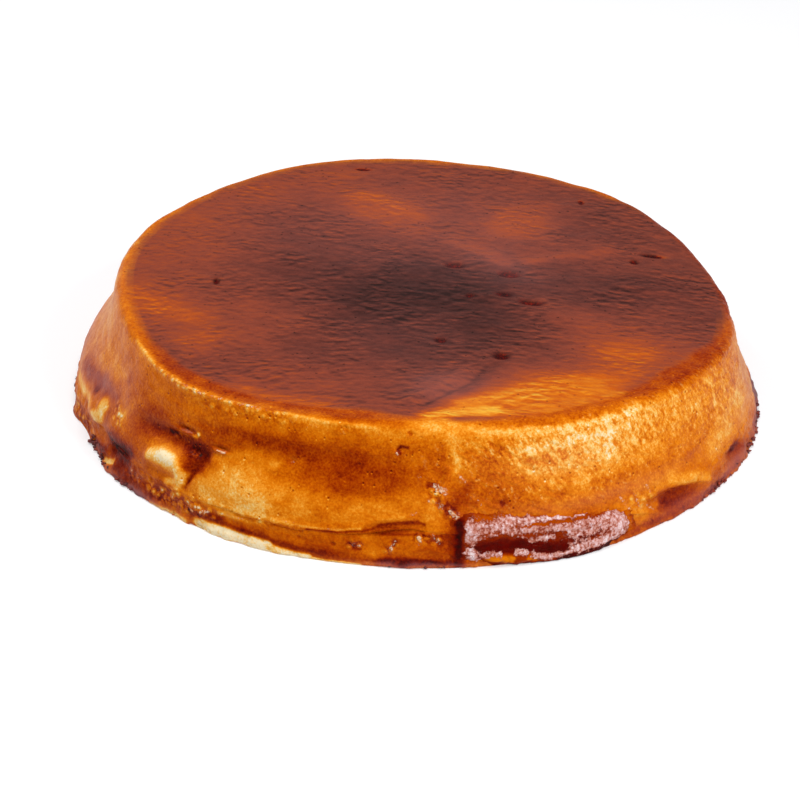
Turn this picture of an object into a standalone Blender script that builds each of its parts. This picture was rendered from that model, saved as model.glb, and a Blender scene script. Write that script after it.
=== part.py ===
"""A biscuit cake: a low, round caramel custard on a layer of soaked biscuit, turned out of its tin.

Metres, +Z up.  The cake stands on z = 0 with its front towards -Y.  Angles are in degrees,
anticlockwise from +X, so the middle of the front is at -90.  A height on the side is a share:
0 at the foot, 1 at the rim above it.
"""
import random

import bmesh
import bpy
import numpy as np

# Driving dimensions.
FOOT_RADIUS = 0.1200
TOP_RADIUS = 0.1080
HEIGHT = 0.0405
TOP_SHIFT = np.array([0.0015, 0.0])        # the top sits a little off the foot
TOP_LEAN = np.array([-0.03, -0.01])         # rise of the top for each metre along X and Y
BELLY = 0.0024                             # how far the left side stands out below mid height
BELLY_HEIGHT, BELLY_REACH = 0.30, 0.27
SEAM_HEIGHT = 0.0105                       # where custard and biscuit meet
GAP = 0.0003

# Out of round: (lobes, swell, direction of one lobe).
FOOT_LOBES = ((2, 0.0010, 90),)
TOP_LOBES = ((2, 0.0020, 75), (4, 0.0010, 45), (6, 0.0012, -10))
RIM_HEIGHT_LOBES = ((2, 0.0024, -80), (3, 0.0008, -60))

# Rounding of the rim: crisp on the left, soft on the right of the front.
RIM_ROUNDING = 0.0032
SOFT_RIM = (-66, 32, 0.0026)               # angle, reach, extra rounding

# Swells and hollows of the side:
# angle, height, reach along the rim, reach up, swell, drift of the angle for each share of height.
SIDE_RELIEF = {
    "folded lobe": (-135.5, 0.38, 5.0, 0.10, 0.0026, 0),
    "fold": (-129.6, 0.42, 1.9, 0.15, -0.0030, -9),
    "hollow above the fold": (-134, 0.58, 8.0, 0.07, -0.0018, 0),
    "amber swell": (-114, 0.40, 11.0, 0.14, 0.0014, 0),
    "sunken band": (-103, 0.70, 17.0, 0.12, -0.0010, 25),
    "left swell": (-158, 0.34, 4.5, 0.09, 0.0014, 12),
    "left low hollow": (-149, 0.17, 7.0, 0.08, -0.0020, 0),
    "far left trough": (-166, 0.46, 8.0, 0.08, -0.0010, 0),
    "right low hollow": (-46, 0.15, 5.0, 0.09, -0.0013, 0),
    "right slanting swell": (-37, 0.24, 4.5, 0.10, 0.0012, -40),
    "right low pit": (-25.5, 0.14, 4.0, 0.06, -0.0016, 0),
    "right waist": (10, 0.60, 22.0, 0.26, -0.0013, 0),
    "left waist": (176, 0.68, 20.0, 0.20, -0.0018, 0),
    "back swell": (118, 0.36, 13.0, 0.13, 0.0012, 0),
    "back hollow": (84, 0.30, 9.0, 0.12, -0.0012, 15),
    "back left swell": (152, 0.30, 10.0, 0.12, 0.0013, -10),
    "back right swell": (45, 0.36, 12.0, 0.14, 0.0010, 10),
}

# A glossy flap of skin that lies over the seam at the front.
FLAP_LEFT, FLAP_RIGHT = -83.4, -54.0
FLAP_TOP_LEFT, FLAP_TOP_RIGHT = 0.36, 0.28
FLAP_THICKNESS = 0.0021
FLAP_LEFT_FADE, FLAP_RIGHT_FADE = 1.4, 5.0     # degrees
FLAP_TOP_FADE, FLAP_FOOT_FADE = 0.06, 0.09     # shares of the height

# Shallow marks on the top: from, to (x, y), half width, swell.
TOP_RELIEF = {
    "crease": ((0.006, -0.088), (0.028, -0.060), 0.0045, -0.0007),
    "ridge": ((0.020, -0.006), (0.050, -0.020), 0.0050, 0.0005),
    "left front dip": ((-0.072, -0.066), (-0.030, -0.090), 0.0070, -0.0006),
    "back left blister": ((-0.022, 0.062), (-0.006, 0.055), 0.0120, 0.0004),
}

# Higher places of the seam: angle, reach, rise.
SEAM_RISES = ((-93, 6, 0.0030), (-68, 14, 0.0016))

# Places where the foot juts out or is bitten in: angle, reach, swell.
FOOT_SWELLS = (
    (-116, 13, 0.0011), (-145, 5, 0.0012), (-154, 3, -0.0014), (-161, 4, -0.0015),
    (-64, 5, 0.0009), (-12, 14, 0.0006), (28, 6, 0.0009), (74, 7, -0.0010), (131, 8, 0.0011),
)

# The foot: a thin ragged edge of baked biscuit.
FOOT_EDGE_HEIGHT = 0.0012
FOOT_EDGE_FADE = 0.0030
RAGGED_DEPTH = 0.0008
RAGGED_LOBES = range(11, 38, 2)
TRIMMED_FRONT = (-90, 42, 0.7)                 # angle, reach, share of the raggedness taken away
SEED = 21

# Mesh: columns crowd towards the front, where the relief is finest.
COLUMNS = 144
CROWDING = 0.42
FRONT = -90
TOP_RINGS = (0.14, 0.28, 0.42, 0.55, 0.67, 0.78, 0.87, 0.94, 1.0)
SEAM_RINGS = (0.96, 0.70, 0.35)
RIM_STEPS = 4
CUSTARD_SIDE_STEPS = 14
BISCUIT_SIDE_STEPS = 7
SEAM_ROUNDING = 0.0007

COLOURS = {
    "custard": ((0.36, 0.085, 0.016, 1), 0.30),
    "biscuit_base": ((0.44, 0.115, 0.018, 1), 0.42),
}


def bell(distance):
    """1 in the middle, falling smoothly to nothing at about twice the reach."""
    return np.exp(-distance ** 2)


def step(value):
    """0 below 0, 1 above 1, smooth between."""
    held = np.clip(value, 0, 1)
    return held * held * (3 - 2 * held)


def turned(angle, middle):
    """Degrees from middle to angle, the short way round."""
    return (angle - middle + 180) % 360 - 180


def lobes(angle, rows):
    """Sum of cosines round the cake, one for each row of (lobes, swell, direction)."""
    return sum(swell * np.cos(count * np.radians(angle - direction)) for count, swell, direction in rows)


def bells(angle, rows):
    """Sum of single swells round the cake, one for each row of (angle, reach, swell)."""
    return sum(swell * bell(turned(angle, middle) / reach) for middle, reach, swell in rows)


def rounding(angle):
    return RIM_ROUNDING + bells(angle, (SOFT_RIM,))


def flap(angle, share):
    """The flap: a sharp left end, a soft right end and an upper edge that falls to the right."""
    along = (angle - FLAP_LEFT) / (FLAP_RIGHT - FLAP_LEFT)
    upper = FLAP_TOP_LEFT + (FLAP_TOP_RIGHT - FLAP_TOP_LEFT) * along
    ends = step((angle - FLAP_LEFT) / FLAP_LEFT_FADE) * step((FLAP_RIGHT - angle) / FLAP_RIGHT_FADE)
    edges = step((upper - share) / FLAP_TOP_FADE) * step(share / FLAP_FOOT_FADE)
    return FLAP_THICKNESS * ends * edges


def side_relief(angle, share):
    total = flap(angle, share)
    for middle, height, along, up, swell, drift in SIDE_RELIEF.values():
        across = turned(angle, middle + drift * (share - height)) / along
        total = total + swell * bell(np.hypot(across, (share - height) / up))
    return total


def ragged(angle):
    """Seeded waves of many lengths; the front is trimmed cleaner than the rest."""
    draw = random.Random(SEED)
    waves = 0
    for count in RAGGED_LOBES:
        waves = waves + draw.uniform(0.5, 1) * np.cos(count * np.radians(angle) + draw.uniform(0, 2 * np.pi))
    rough = 1 - bells(angle, (TRIMMED_FRONT,))
    return RAGGED_DEPTH * rough * waves / len(RAGGED_LOBES) ** 0.5


def foot_radius(angle):
    return FOOT_RADIUS + lobes(angle, FOOT_LOBES) + bells(angle, FOOT_SWELLS)


def top_radius(angle):
    return TOP_RADIUS + lobes(angle, TOP_LOBES)


def outward(angle):
    return np.stack([np.cos(np.radians(angle)), np.sin(np.radians(angle))], axis=-1)


def rim_height(angle):
    edge = TOP_SHIFT + outward(angle) * top_radius(angle)[:, None]
    return HEIGHT + edge @ TOP_LEAN + lobes(angle, RIM_HEIGHT_LOBES)


def seam_height(angle, out=1):
    """Level inside the cake, rising at the edge where the seam does; out is the share of the radius."""
    return SEAM_HEIGHT + bells(angle, SEAM_RISES) * out ** 3


def ring(angle, radius, height, share):
    """Points at a radius and height on every column, about an axis that drifts to the top's middle."""
    flat = np.outer(share + 0 * angle, TOP_SHIFT) + outward(angle) * radius[:, None]
    return np.column_stack([flat, height + 0 * angle])


def side_ring(angle, height, inset=0):
    """The side at a height: a straight slope from foot to rim, with belly, relief and ragged foot."""
    share = height / rim_height(angle)
    slope = foot_radius(angle) * (1 - share) + top_radius(angle) * share
    belly = BELLY * (1 - np.cos(np.radians(angle))) / 2 * bell((share - BELLY_HEIGHT) / BELLY_REACH)
    edge = ragged(angle) * step((FOOT_EDGE_FADE - height) / (FOOT_EDGE_FADE - FOOT_EDGE_HEIGHT))
    radius = slope + belly + side_relief(angle, share) + edge - inset
    return ring(angle, radius, height, share)


def top_relief(flat):
    """Soft lines: the height falls off with the distance from a straight stretch."""
    total = 0
    for start, end, width, swell in TOP_RELIEF.values():
        start, run = np.array(start), np.array(end) - np.array(start)
        along = np.clip((flat - start) @ run / (run @ run), 0, 1)
        total = total + swell * bell(np.linalg.norm(flat - start - along[:, None] * run, axis=1) / width)
    return total


def corner_cut(angle, slope):
    """Length that the rounding takes off each face at the rim."""
    return rounding(angle) * np.tan((np.pi / 2 - slope) / 2)


def side_slope(angle):
    return np.arctan2(foot_radius(angle) - top_radius(angle), rim_height(angle))


def rim_rings(angle):
    """A quarter round between side and top, from the side's slope up to level."""
    slope = side_slope(angle)
    radius = rounding(angle)
    middle = top_radius(angle) - corner_cut(angle, slope)
    for turn in np.linspace(0, 1, RIM_STEPS + 1):
        tilt = slope + (np.pi / 2 - slope) * turn
        height = rim_height(angle) - radius + radius * np.sin(tilt)
        yield ring(angle, middle + radius * np.cos(tilt), height, 1)


def top_rings(angle):
    """The top from the rim inwards; the waves of the rim die out towards the middle."""
    edge = top_radius(angle) - corner_cut(angle, side_slope(angle))
    for out in TOP_RINGS[-2::-1]:
        flat = TOP_SHIFT + outward(angle) * (edge * out)[:, None]
        height = HEIGHT + flat @ TOP_LEAN + lobes(angle, RIM_HEIGHT_LOBES) * out ** 2
        yield np.column_stack([flat, height + top_relief(flat)])


def seam_rings(angle, lift, edge, outwards):
    """The hidden face between the two layers, GAP / 2 above or below the seam."""
    reach = np.linalg.norm(edge[:, :2], axis=1)
    for out in sorted(SEAM_RINGS, reverse=not outwards):
        yield ring(angle, reach * out, seam_height(angle, out) + lift, 0)


def custard_rings(angle):
    """From the middle of the underside, out along the seam, up the side and in over the top."""
    low = seam_height(angle) + GAP / 2
    high = rim_height(angle) - corner_cut(angle, side_slope(angle)) * np.cos(side_slope(angle))
    lip = side_ring(angle, low, inset=SEAM_ROUNDING)
    yield from seam_rings(angle, GAP / 2, lip, outwards=True)
    yield lip
    for share in np.linspace(0, 1, CUSTARD_SIDE_STEPS)[:-1]:
        yield side_ring(angle, low + SEAM_ROUNDING + (high - low - SEAM_ROUNDING) * share)
    yield from rim_rings(angle)
    yield from top_rings(angle)


def biscuit_rings(angle):
    """From the foot, up the side and in along the seam; the foot itself is flat."""
    high = seam_height(angle) - GAP / 2
    lip = side_ring(angle, high, inset=SEAM_ROUNDING)
    yield side_ring(angle, 0 * angle)
    for share in np.linspace(0, 1, BISCUIT_SIDE_STEPS):
        yield side_ring(angle, FOOT_EDGE_HEIGHT + (high - SEAM_ROUNDING - FOOT_EDGE_HEIGHT) * share)
    yield lip
    yield from seam_rings(angle, -GAP / 2, lip, outwards=False)


def columns():
    """Angles of the columns, closer together at the front."""
    even = np.linspace(0, 360, COLUMNS, endpoint=False)
    return turned(even - np.degrees(CROWDING) * np.sin(np.radians(even - FRONT)), 0)


def loft(name, rings, first_middle, last_middle):
    """Join rings into one closed body, with a fan of triangles at each end."""
    body = bmesh.new()
    loops = [[body.verts.new(point) for point in points] for points in rings]
    for lower, upper in zip(loops, loops[1:]):
        for here in range(COLUMNS):
            there = (here + 1) % COLUMNS
            body.faces.new((lower[here], lower[there], upper[there]))
            body.faces.new((lower[here], upper[there], upper[here]))
    bottom, top = body.verts.new(first_middle), body.verts.new(last_middle)
    for here in range(COLUMNS):
        there = (here + 1) % COLUMNS
        body.faces.new((bottom, loops[0][there], loops[0][here]))
        body.faces.new((top, loops[-1][here], loops[-1][there]))
    mesh = bpy.data.meshes.new(name)
    body.to_mesh(mesh)
    body.free()
    mesh.shade_smooth()
    mesh.set_sharp_from_angle(angle=np.radians(40))
    return mesh


def finish(name):
    colour, roughness = COLOURS[name]
    material = bpy.data.materials.new(name)
    material.use_nodes = True
    shader = material.node_tree.nodes["Principled BSDF"]
    shader.inputs["Base Color"].default_value = colour
    shader.inputs["Roughness"].default_value = roughness
    shader.inputs["Metallic"].default_value = 0
    return material


def add(name, rings, first_middle, last_middle, shift):
    """One layer of the cake as an object, moved so that the cake's box is centred on the origin."""
    mesh = loft(name, [points + shift for points in rings], first_middle + shift, last_middle + shift)
    mesh.materials.append(finish(name))
    bpy.context.scene.collection.objects.link(bpy.data.objects.new(name, mesh))


def main():
    for old in list(bpy.data.objects):
        bpy.data.objects.remove(old)
    angle = columns()
    biscuit = list(biscuit_rings(angle))
    custard = list(custard_rings(angle))
    everywhere = np.concatenate(biscuit + custard)
    shift = -(everywhere.max(axis=0) + everywhere.min(axis=0)) / 2
    shift[2] = 0
    seam = np.array([0, 0, SEAM_HEIGHT])
    half_gap = np.array([0, 0, GAP / 2])
    crown = np.array([*TOP_SHIFT, HEIGHT + TOP_SHIFT @ TOP_LEAN])
    add("biscuit_base", biscuit, np.zeros(3), seam - half_gap, shift)
    add("custard", custard, seam + half_gap, crown, shift)


main()
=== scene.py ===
import bpy
import numpy as np
from mathutils import Matrix, Vector


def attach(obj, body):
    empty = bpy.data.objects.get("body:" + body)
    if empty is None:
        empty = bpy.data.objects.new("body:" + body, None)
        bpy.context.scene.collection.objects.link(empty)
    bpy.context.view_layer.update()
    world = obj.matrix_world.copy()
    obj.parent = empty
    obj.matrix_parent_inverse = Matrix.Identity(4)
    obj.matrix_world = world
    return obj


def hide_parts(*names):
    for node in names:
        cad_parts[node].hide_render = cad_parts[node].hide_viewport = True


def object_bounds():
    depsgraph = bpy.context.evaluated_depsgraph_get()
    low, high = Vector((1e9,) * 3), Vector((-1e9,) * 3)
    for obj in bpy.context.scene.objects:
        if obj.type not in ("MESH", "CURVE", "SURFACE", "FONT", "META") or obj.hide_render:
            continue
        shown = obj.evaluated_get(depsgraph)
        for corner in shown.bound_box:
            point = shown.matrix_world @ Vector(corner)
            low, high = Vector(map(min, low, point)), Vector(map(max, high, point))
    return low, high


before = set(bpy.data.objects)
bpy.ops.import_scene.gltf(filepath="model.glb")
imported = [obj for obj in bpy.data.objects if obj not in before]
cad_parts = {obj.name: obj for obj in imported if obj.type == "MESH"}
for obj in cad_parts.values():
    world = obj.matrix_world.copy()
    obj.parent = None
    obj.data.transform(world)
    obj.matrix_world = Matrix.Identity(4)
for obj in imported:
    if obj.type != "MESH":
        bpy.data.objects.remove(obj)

# Looks of the biscuit cake: a low round caramel custard on a layer of soaked biscuit.
# Metres, +Z up, front towards -Y.  Angles are in degrees, anticlockwise from +X, so the middle
# of the front is at -90.  Climb is a share of the height: 0 at the foot and 1 at the rim above
# it; past the rim it goes on inward over the top, at the same rate.

CAD_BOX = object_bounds()
MM = 0.001
FRONT = -90

# ---- Shape of the cake -----------------------------------------------------------------------
FOOT_RADIUS = 0.1200
TOP_RADIUS = 0.1080
HEIGHT = 0.0405
TOP_SHIFT = np.array([0.0015, 0.0])
TOP_LEAN = np.array([-0.03, -0.01])
BELLY, BELLY_HEIGHT, BELLY_REACH = 0.0024, 0.30, 0.27
SEAM_HEIGHT = 0.0105
GAP = 0.0003
SEAM_ROUNDING = 0.0007

# (lobes, swell, direction of one lobe)
FOOT_LOBES = ((2, 0.0010, 90),)
TOP_LOBES = ((2, 0.0020, 75), (4, 0.0010, 45), (6, 0.0012, -10))
RIM_HEIGHT_LOBES = ((2, 0.0024, -80), (3, 0.0008, -60))

# Radius of the rim's rounding, and what swells round the cake: (angle, reach, swell)
RIM_ROUNDING = 0.0032
SOFT_RIM = ((-66, 32, 0.0026), (-128, 24, -0.0014))
SEAM_RISES = ((-93, 6, 0.0030), (-68, 14, 0.0016))
FOOT_SWELLS = (
    (-116, 13, 0.0011), (-145, 5, 0.0012), (-154, 3, -0.0014), (-161, 4, -0.0015),
    (-64, 5, 0.0009), (-12, 14, 0.0006), (28, 6, 0.0009), (74, 7, -0.0010), (131, 8, 0.0011),
)

# Swells and hollows: angle, climb, reach along, reach up, swell; then any drift of the angle with climb
SIDE_RELIEF = {
    "behind the fold": (-135.5, 0.36, 5, 0.1, 0.0012),
    "hollow above the fold": (-134, 0.57, 7, 0.06, -0.0012),
    "amber swell": (-114, 0.4, 11, 0.14, 0.0014),
    "sunken band": (-103, 0.7, 17, 0.12, -0.001, 25),
    "left swell": (-158, 0.34, 4.5, 0.09, 0.0014, 12),
    "left low hollow": (-149, 0.17, 7, 0.08, -0.002),
    "far left trough": (-166, 0.46, 8, 0.08, -0.001),
    "right low hollow": (-46, 0.15, 5, 0.09, -0.0013),
    "right slanting swell": (-37, 0.24, 4.5, 0.1, 0.0012, -40),
    "right low pit": (-25.5, 0.14, 4, 0.06, -0.0016),
    "right waist": (10, 0.6, 22, 0.26, -0.0013),
    "left waist": (176, 0.68, 20, 0.2, -0.0018),
    "back swell": (118, 0.36, 13, 0.13, 0.0012),
    "back hollow": (84, 0.3, 9, 0.12, -0.0012, 15),
    "back left swell": (152, 0.3, 10, 0.12, 0.0013, -10),
    "back right swell": (45, 0.36, 12, 0.14, 0.001, 10),
}


def bell(distance):
    """1 in the middle, falling smoothly to nothing at about twice the reach."""
    return np.exp(-distance ** 2)


def step(value):
    """0 below 0, 1 above 1, smooth between."""
    held = np.clip(value, 0, 1)
    return held * held * (3 - 2 * held)


def turned(angle, middle):
    """Degrees from middle to angle, the short way round."""
    return (angle - middle + 180) % 360 - 180


def lobes(angle, rows):
    """Sum of cosines round the cake, one for each row of (lobes, swell, direction)."""
    return sum(swell * np.cos(count * np.radians(angle - direction)) for count, swell, direction in rows)


def bells(angle, rows):
    """Sum of single swells round the cake, one for each row of (angle, reach, swell)."""
    return sum(swell * bell(turned(angle, middle) / reach) for middle, reach, swell in rows)


def foot_radius(angle):
    return FOOT_RADIUS + lobes(angle, FOOT_LOBES) + bells(angle, FOOT_SWELLS)


def top_radius(angle):
    return TOP_RADIUS + lobes(angle, TOP_LOBES)


def outward(angle):
    return np.stack([np.cos(np.radians(angle)), np.sin(np.radians(angle))], axis=-1)


def rim_height(angle):
    edge = TOP_SHIFT + outward(angle) * top_radius(angle)[..., None]
    return HEIGHT + edge @ TOP_LEAN + lobes(angle, RIM_HEIGHT_LOBES)


def rounding(angle):
    return RIM_ROUNDING + bells(angle, SOFT_RIM)


def side_slope(angle):
    return np.arctan2(foot_radius(angle) - top_radius(angle), rim_height(angle))


def corner_cut(angle):
    """Length that the rounding takes off each face at the rim."""
    return rounding(angle) * np.tan((np.pi / 2 - side_slope(angle)) / 2)


def seam_height(angle, out=1):
    return SEAM_HEIGHT + bells(angle, SEAM_RISES) * out ** 3


# Size of the table of random heights, and where on it the noise of the top begins
NOISE_COLUMNS, NOISE_ROWS = 4096, 64
TOP_NOISE_START = 100


def noise(across, up, seed, wrap=NOISE_COLUMNS):
    """Random heights on a unit grid joined by smooth steps, from -1 to 1; repeats every wrap cells."""
    table = np.random.default_rng(seed).uniform(-1, 1, (NOISE_COLUMNS, NOISE_ROWS))
    column, first = np.floor(across).astype(int), np.floor(up).astype(int)
    right, rise = step(across - column), step(up - first)
    here, there = column % wrap % NOISE_COLUMNS, (column + 1) % wrap % NOISE_COLUMNS

    def height(row):
        return table[here, row % NOISE_ROWS] * (1 - right) + table[there, row % NOISE_ROWS] * right

    return height(first) * (1 - rise) + height(first + 1) * rise


def layers(across, up, seed, count, wrap=NOISE_COLUMNS):
    """Noise added up over several sizes, each half as wide and half as high as the last."""
    return sum(noise(across * 2 ** k, up * 2 ** k, seed + k, wrap * 2 ** k) / 2 ** k for k in range(count))


def side_noise(angle, climb, cells, rows, seed, count=3, slant=0):
    """Layered noise on the side: cells round the cake, rows up its height, and a slant with climb."""
    return layers(((angle + slant * climb) % 360) / 360 * cells, climb * rows, seed, count, cells)


def noise_mix(angle, climb, rows):
    """Sum of noises on the side, for rows of (amount, cells round, rows up, seed, layers, slant)."""
    return sum(amount * side_noise(angle, climb, *rest) for amount, *rest in rows)


def top_noise(flat, wide, deep, seed, count=3):
    """Layered noise on the top, with cells of a width and depth in metres."""
    across, away = flat[..., 0] / wide, flat[..., 1] / deep
    return layers(across + TOP_NOISE_START, away + TOP_NOISE_START, seed, count)


def filled(table, length, usual):
    """A table's rows, each made up to a length with the last of the usual values."""
    return [row if len(row) == length else row + usual[len(row) - length:] for row in table.values()]


def swells(angle, climb, table):
    """Swells and hollows: a bell over each row's ellipse, slanted by its drift."""
    total = 0
    for middle, height, along, up, swell, drift in filled(table, 6, (0,)):
        across = turned(angle, middle + drift * (climb - height)) / along
        total = total + swell * bell(np.hypot(across, (climb - height) / up))
    return total


# What rows leave out.  Strokes: strength, edge.  Patches: strength, edge, drift or turn.
USUAL_BLEND = (1, 4)
USUAL_PATCH = (*USUAL_BLEND, 0)


def pulled(value, target, distance, strength, edge):
    """The value pulled towards a target, with the weight strength / (1 + distance ^ edge)."""
    weight = strength / (1 + distance ** edge)
    return value * (1 - weight) + target * weight


def side_field(angle, climb, ground, table):
    """Patches laid over one another on the side, each pulling the value towards its own.

    The distance is 1 on a patch's ellipse, which a drift slants; a high edge makes a hard outline."""
    value = ground + 0 * angle * climb
    for middle, height, along, up, target, strength, edge, drift in filled(table, 8, USUAL_PATCH):
        across = turned(angle, middle + drift * (climb - height)) / along
        value = pulled(value, target, np.hypot(across, (climb - height) / up), strength, edge)
    return value


def top_field(flat, ground, table):
    """Patches laid over one another on the top: each ellipse is in millimetres, and turned."""
    value = ground
    for x, y, along, wide, target, strength, edge, turn in filled(table, 8, USUAL_PATCH):
        cos, sin = np.cos(np.radians(turn)), np.sin(np.radians(turn))
        aside, away = flat[..., 0] / MM - x, flat[..., 1] / MM - y
        distance = np.hypot((aside * cos + away * sin) / along, (away * cos - aside * sin) / wide)
        value = pulled(value, target, distance, strength, edge)
    return value


def unrolled(angle, climb):
    """Place on the side laid out flat: metres round the foot from the front, and up."""
    round_foot = np.radians(turned(angle, FRONT)) * FOOT_RADIUS
    return np.stack(np.broadcast_arrays(round_foot, climb * HEIGHT), axis=-1)


def path_distance(place, path):
    """Distance to the nearest of a path's straight stretches."""
    nearest = np.inf
    for start, end in zip(path[:-1], path[1:]):
        run = end - start
        along = np.clip((place - start) @ run / (run @ run), 0, 1)
        nearest = np.minimum(nearest, np.linalg.norm(place - start - along[..., None] * run, axis=-1))
    return nearest


def side_path(path):
    return unrolled(*np.array(path, dtype=float).T)


def strokes(value, place, table, to_place):
    """Strokes laid over one another, like patches, by the distance from a path in half widths."""
    for path, width, target, strength, edge in filled(table, 5, USUAL_BLEND):
        value = pulled(value, target, path_distance(place, to_place(path)) / (width * MM), strength, edge)
    return value


def ridges(place, table, to_place):
    """Soft ridges and grooves along paths: half width in millimetres, swell in metres."""
    total = 0
    for path, width, swell in table.values():
        total = total + swell * bell(path_distance(place, to_place(path)) / (width * MM))
    return total


# ---- Grids and meshes ------------------------------------------------------------------------
# How much closer the columns stand at the front, and a length that is safe to divide by
CROWDING = 0.70
SMALLEST_LENGTH = 1e-12
# Rings round each of the two edges at the seam
BEND_RINGS = 3


def columns(count):
    """Angles of the columns, closer together at the front."""
    even = np.linspace(0, 360, count, endpoint=False)
    return turned(even - np.degrees(CROWDING) * np.sin(np.radians(even - FRONT)), 0)


def ring(angle, radius, height, share):
    """Points at a radius and height on every column, about an axis that drifts to the top's middle."""
    flat = np.outer(share + 0 * angle, TOP_SHIFT) + outward(angle) * (radius + 0 * angle)[:, None]
    return np.column_stack([flat, height + 0 * angle])


def side_radius(angle, climb):
    """A straight slope from foot to rim, with the belly and the main relief."""
    slope = foot_radius(angle) * (1 - climb) + top_radius(angle) * climb
    belly = BELLY * (1 - np.cos(np.radians(angle))) / 2 * bell((climb - BELLY_HEIGHT) / BELLY_REACH)
    return slope + belly + swells(angle, climb, SIDE_RELIEF)


def normals(grid):
    """Outward unit normals of a ring grid that closes round the cake: rings go up, columns go round."""
    along = np.roll(grid, -1, axis=1) - np.roll(grid, 1, axis=1)
    up = np.gradient(grid, axis=0)
    cross = np.cross(along, up)
    return cross / np.maximum(np.linalg.norm(cross, axis=2, keepdims=True), SMALLEST_LENGTH)


def placed(name, data):
    """A new object in the scene."""
    thing = bpy.data.objects.new(name, data)
    bpy.context.scene.collection.objects.link(thing)
    return thing


def add_piece(name, points, faces, attributes, finish, nodes=()):
    """A mesh piece that rides on the cake's one body."""
    mesh = bpy.data.meshes.new(name)
    mesh.from_pydata(points, [], faces)
    for label, values in attributes.items():
        layer = mesh.attributes.new(label, "FLOAT", "POINT")
        layer.data.foreach_set("value", np.ascontiguousarray(values, dtype=np.float32))
    mesh.materials.append(finish)
    mesh.shade_smooth()
    piece = placed(name, mesh)
    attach(piece, "root")
    if nodes:
        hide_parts(*nodes)
    return piece


def ring_faces(rings, count):
    """Quads between neighbouring rings, and a fan to a pole at each end."""
    here = np.arange(count)
    there = (here + 1) % count
    low = np.arange(rings - 1)[:, None] * count
    quads = np.stack([low + here, low + there, low + count + there, low + count + here], axis=-1)
    last = (rings - 1) * count
    bottom, top = rings * count, rings * count + 1
    floor = np.column_stack([np.full(count, bottom), there, here])
    roof = np.column_stack([np.full(count, top), last + here, last + there])
    return quads.reshape(-1, 4).tolist() + floor.tolist() + roof.tolist()


def add_lofted(name, grid, attributes, finish, nodes=()):
    """A closed body from rings that run from its underside up and in over its top."""
    poles = np.array([grid[0].mean(axis=0), grid[-1].mean(axis=0)])
    points = np.concatenate([grid.reshape(-1, 3), poles])
    spread = {k: np.concatenate([v.ravel(), [v[0].mean(), v[-1].mean()]]) for k, v in attributes.items()}
    return add_piece(name, points, ring_faces(*grid.shape[:2]), spread, finish, nodes)


def grid_quads(rows, count, first=0):
    """Quads of a grid with its columns to the right and its rows going up, seen from outside."""
    corner = first + np.arange(rows - 1)[:, None] * count + np.arange(count - 1)
    return np.stack([corner, corner + 1, corner + count + 1, corner + count], axis=-1).reshape(-1, 4)


def grid_edge(rows, count):
    """Indices round the edge of a grid, from its first corner to the right, up, back and down."""
    index = np.arange(rows * count).reshape(rows, count)
    return np.concatenate([index[0, :-1], index[:-1, -1], index[-1, :0:-1], index[:0:-1, 0]])


def add_sheet(name, front, back, attributes, finish):
    """A closed sheet from two grids of one size: its front, its back and a strip round their edges."""
    rows, count = front.shape[:2]
    total = rows * count
    edge = grid_edge(rows, count)
    after = np.roll(edge, -1)
    strip = np.column_stack([edge, edge + total, after + total, after])
    faces = np.concatenate([grid_quads(rows, count), grid_quads(rows, count, total)[:, ::-1], strip])
    points = np.concatenate([front.reshape(-1, 3), back.reshape(-1, 3)])
    twice = {k: np.concatenate([v.ravel(), v.ravel()]) for k, v in attributes.items()}
    return add_piece(name, points, faces.tolist(), twice, finish)


# ---- Place in the frame ----------------------------------------------------------------------
FOOT_STEPS = 720


def foot_offset():
    """How far the cake's own axis lies from the middle of the frame's box."""
    angle = columns(FOOT_STEPS)
    foot = outward(angle) * foot_radius(angle)[:, None]
    middle = (foot.max(axis=0) + foot.min(axis=0)) / 2
    frame_middle = (CAD_BOX[0] + CAD_BOX[1]) / 2
    return np.array([frame_middle.x - middle[0], frame_middle.y - middle[1], CAD_BOX[0].z])


OFFSET = foot_offset()


# ---- Shader maths ----------------------------------------------------------------------------
class Wire:
    """An output socket.  Arithmetic on wires and numbers adds Math nodes."""

    def __init__(self, socket):
        self.socket = socket
        self.tree = socket.id_data

    def make(self, kind, settings=None, sockets=None, out=0):
        return make(self.tree, kind, settings, sockets, out)

    def math(self, operation, *values):
        return self.make("ShaderNodeMath", {"operation": operation}, dict(enumerate(values)))

    def __add__(self, other):
        return self.math("ADD", self, other)

    __radd__ = __add__

    def __sub__(self, other):
        return self.math("SUBTRACT", self, other)

    def __rsub__(self, other):
        return self.math("SUBTRACT", other, self)

    def __mul__(self, other):
        return self.math("MULTIPLY", self, other)

    __rmul__ = __mul__


def make(tree, kind, settings=None, sockets=None, out=0):
    """A node of a kind: its settings first, then the values or wires of its sockets; gives one output."""
    node = tree.nodes.new(kind)
    for name, value in (settings or {}).items():
        if name == "stops":
            fill_ramp(node.color_ramp, value)
        else:
            setattr(node, name, value)
    for name, value in (sockets or {}).items():
        if isinstance(value, Wire):
            tree.links.new(value.socket, node.inputs[name])
        else:
            node.inputs[name].default_value = value
    return Wire(node.outputs[out])


def fill_ramp(ramp, stops):
    while len(ramp.elements) < len(stops):
        ramp.elements.new(0.5)
    for element, (place, colour) in zip(ramp.elements, stops):
        element.position = place
        element.color = colour


def attributes(tree, *names):
    return [make(tree, "ShaderNodeAttribute", {"attribute_name": name}, out="Fac") for name in names]


NO_SHIFT = (0.0, 0.0, 0.0)


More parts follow.
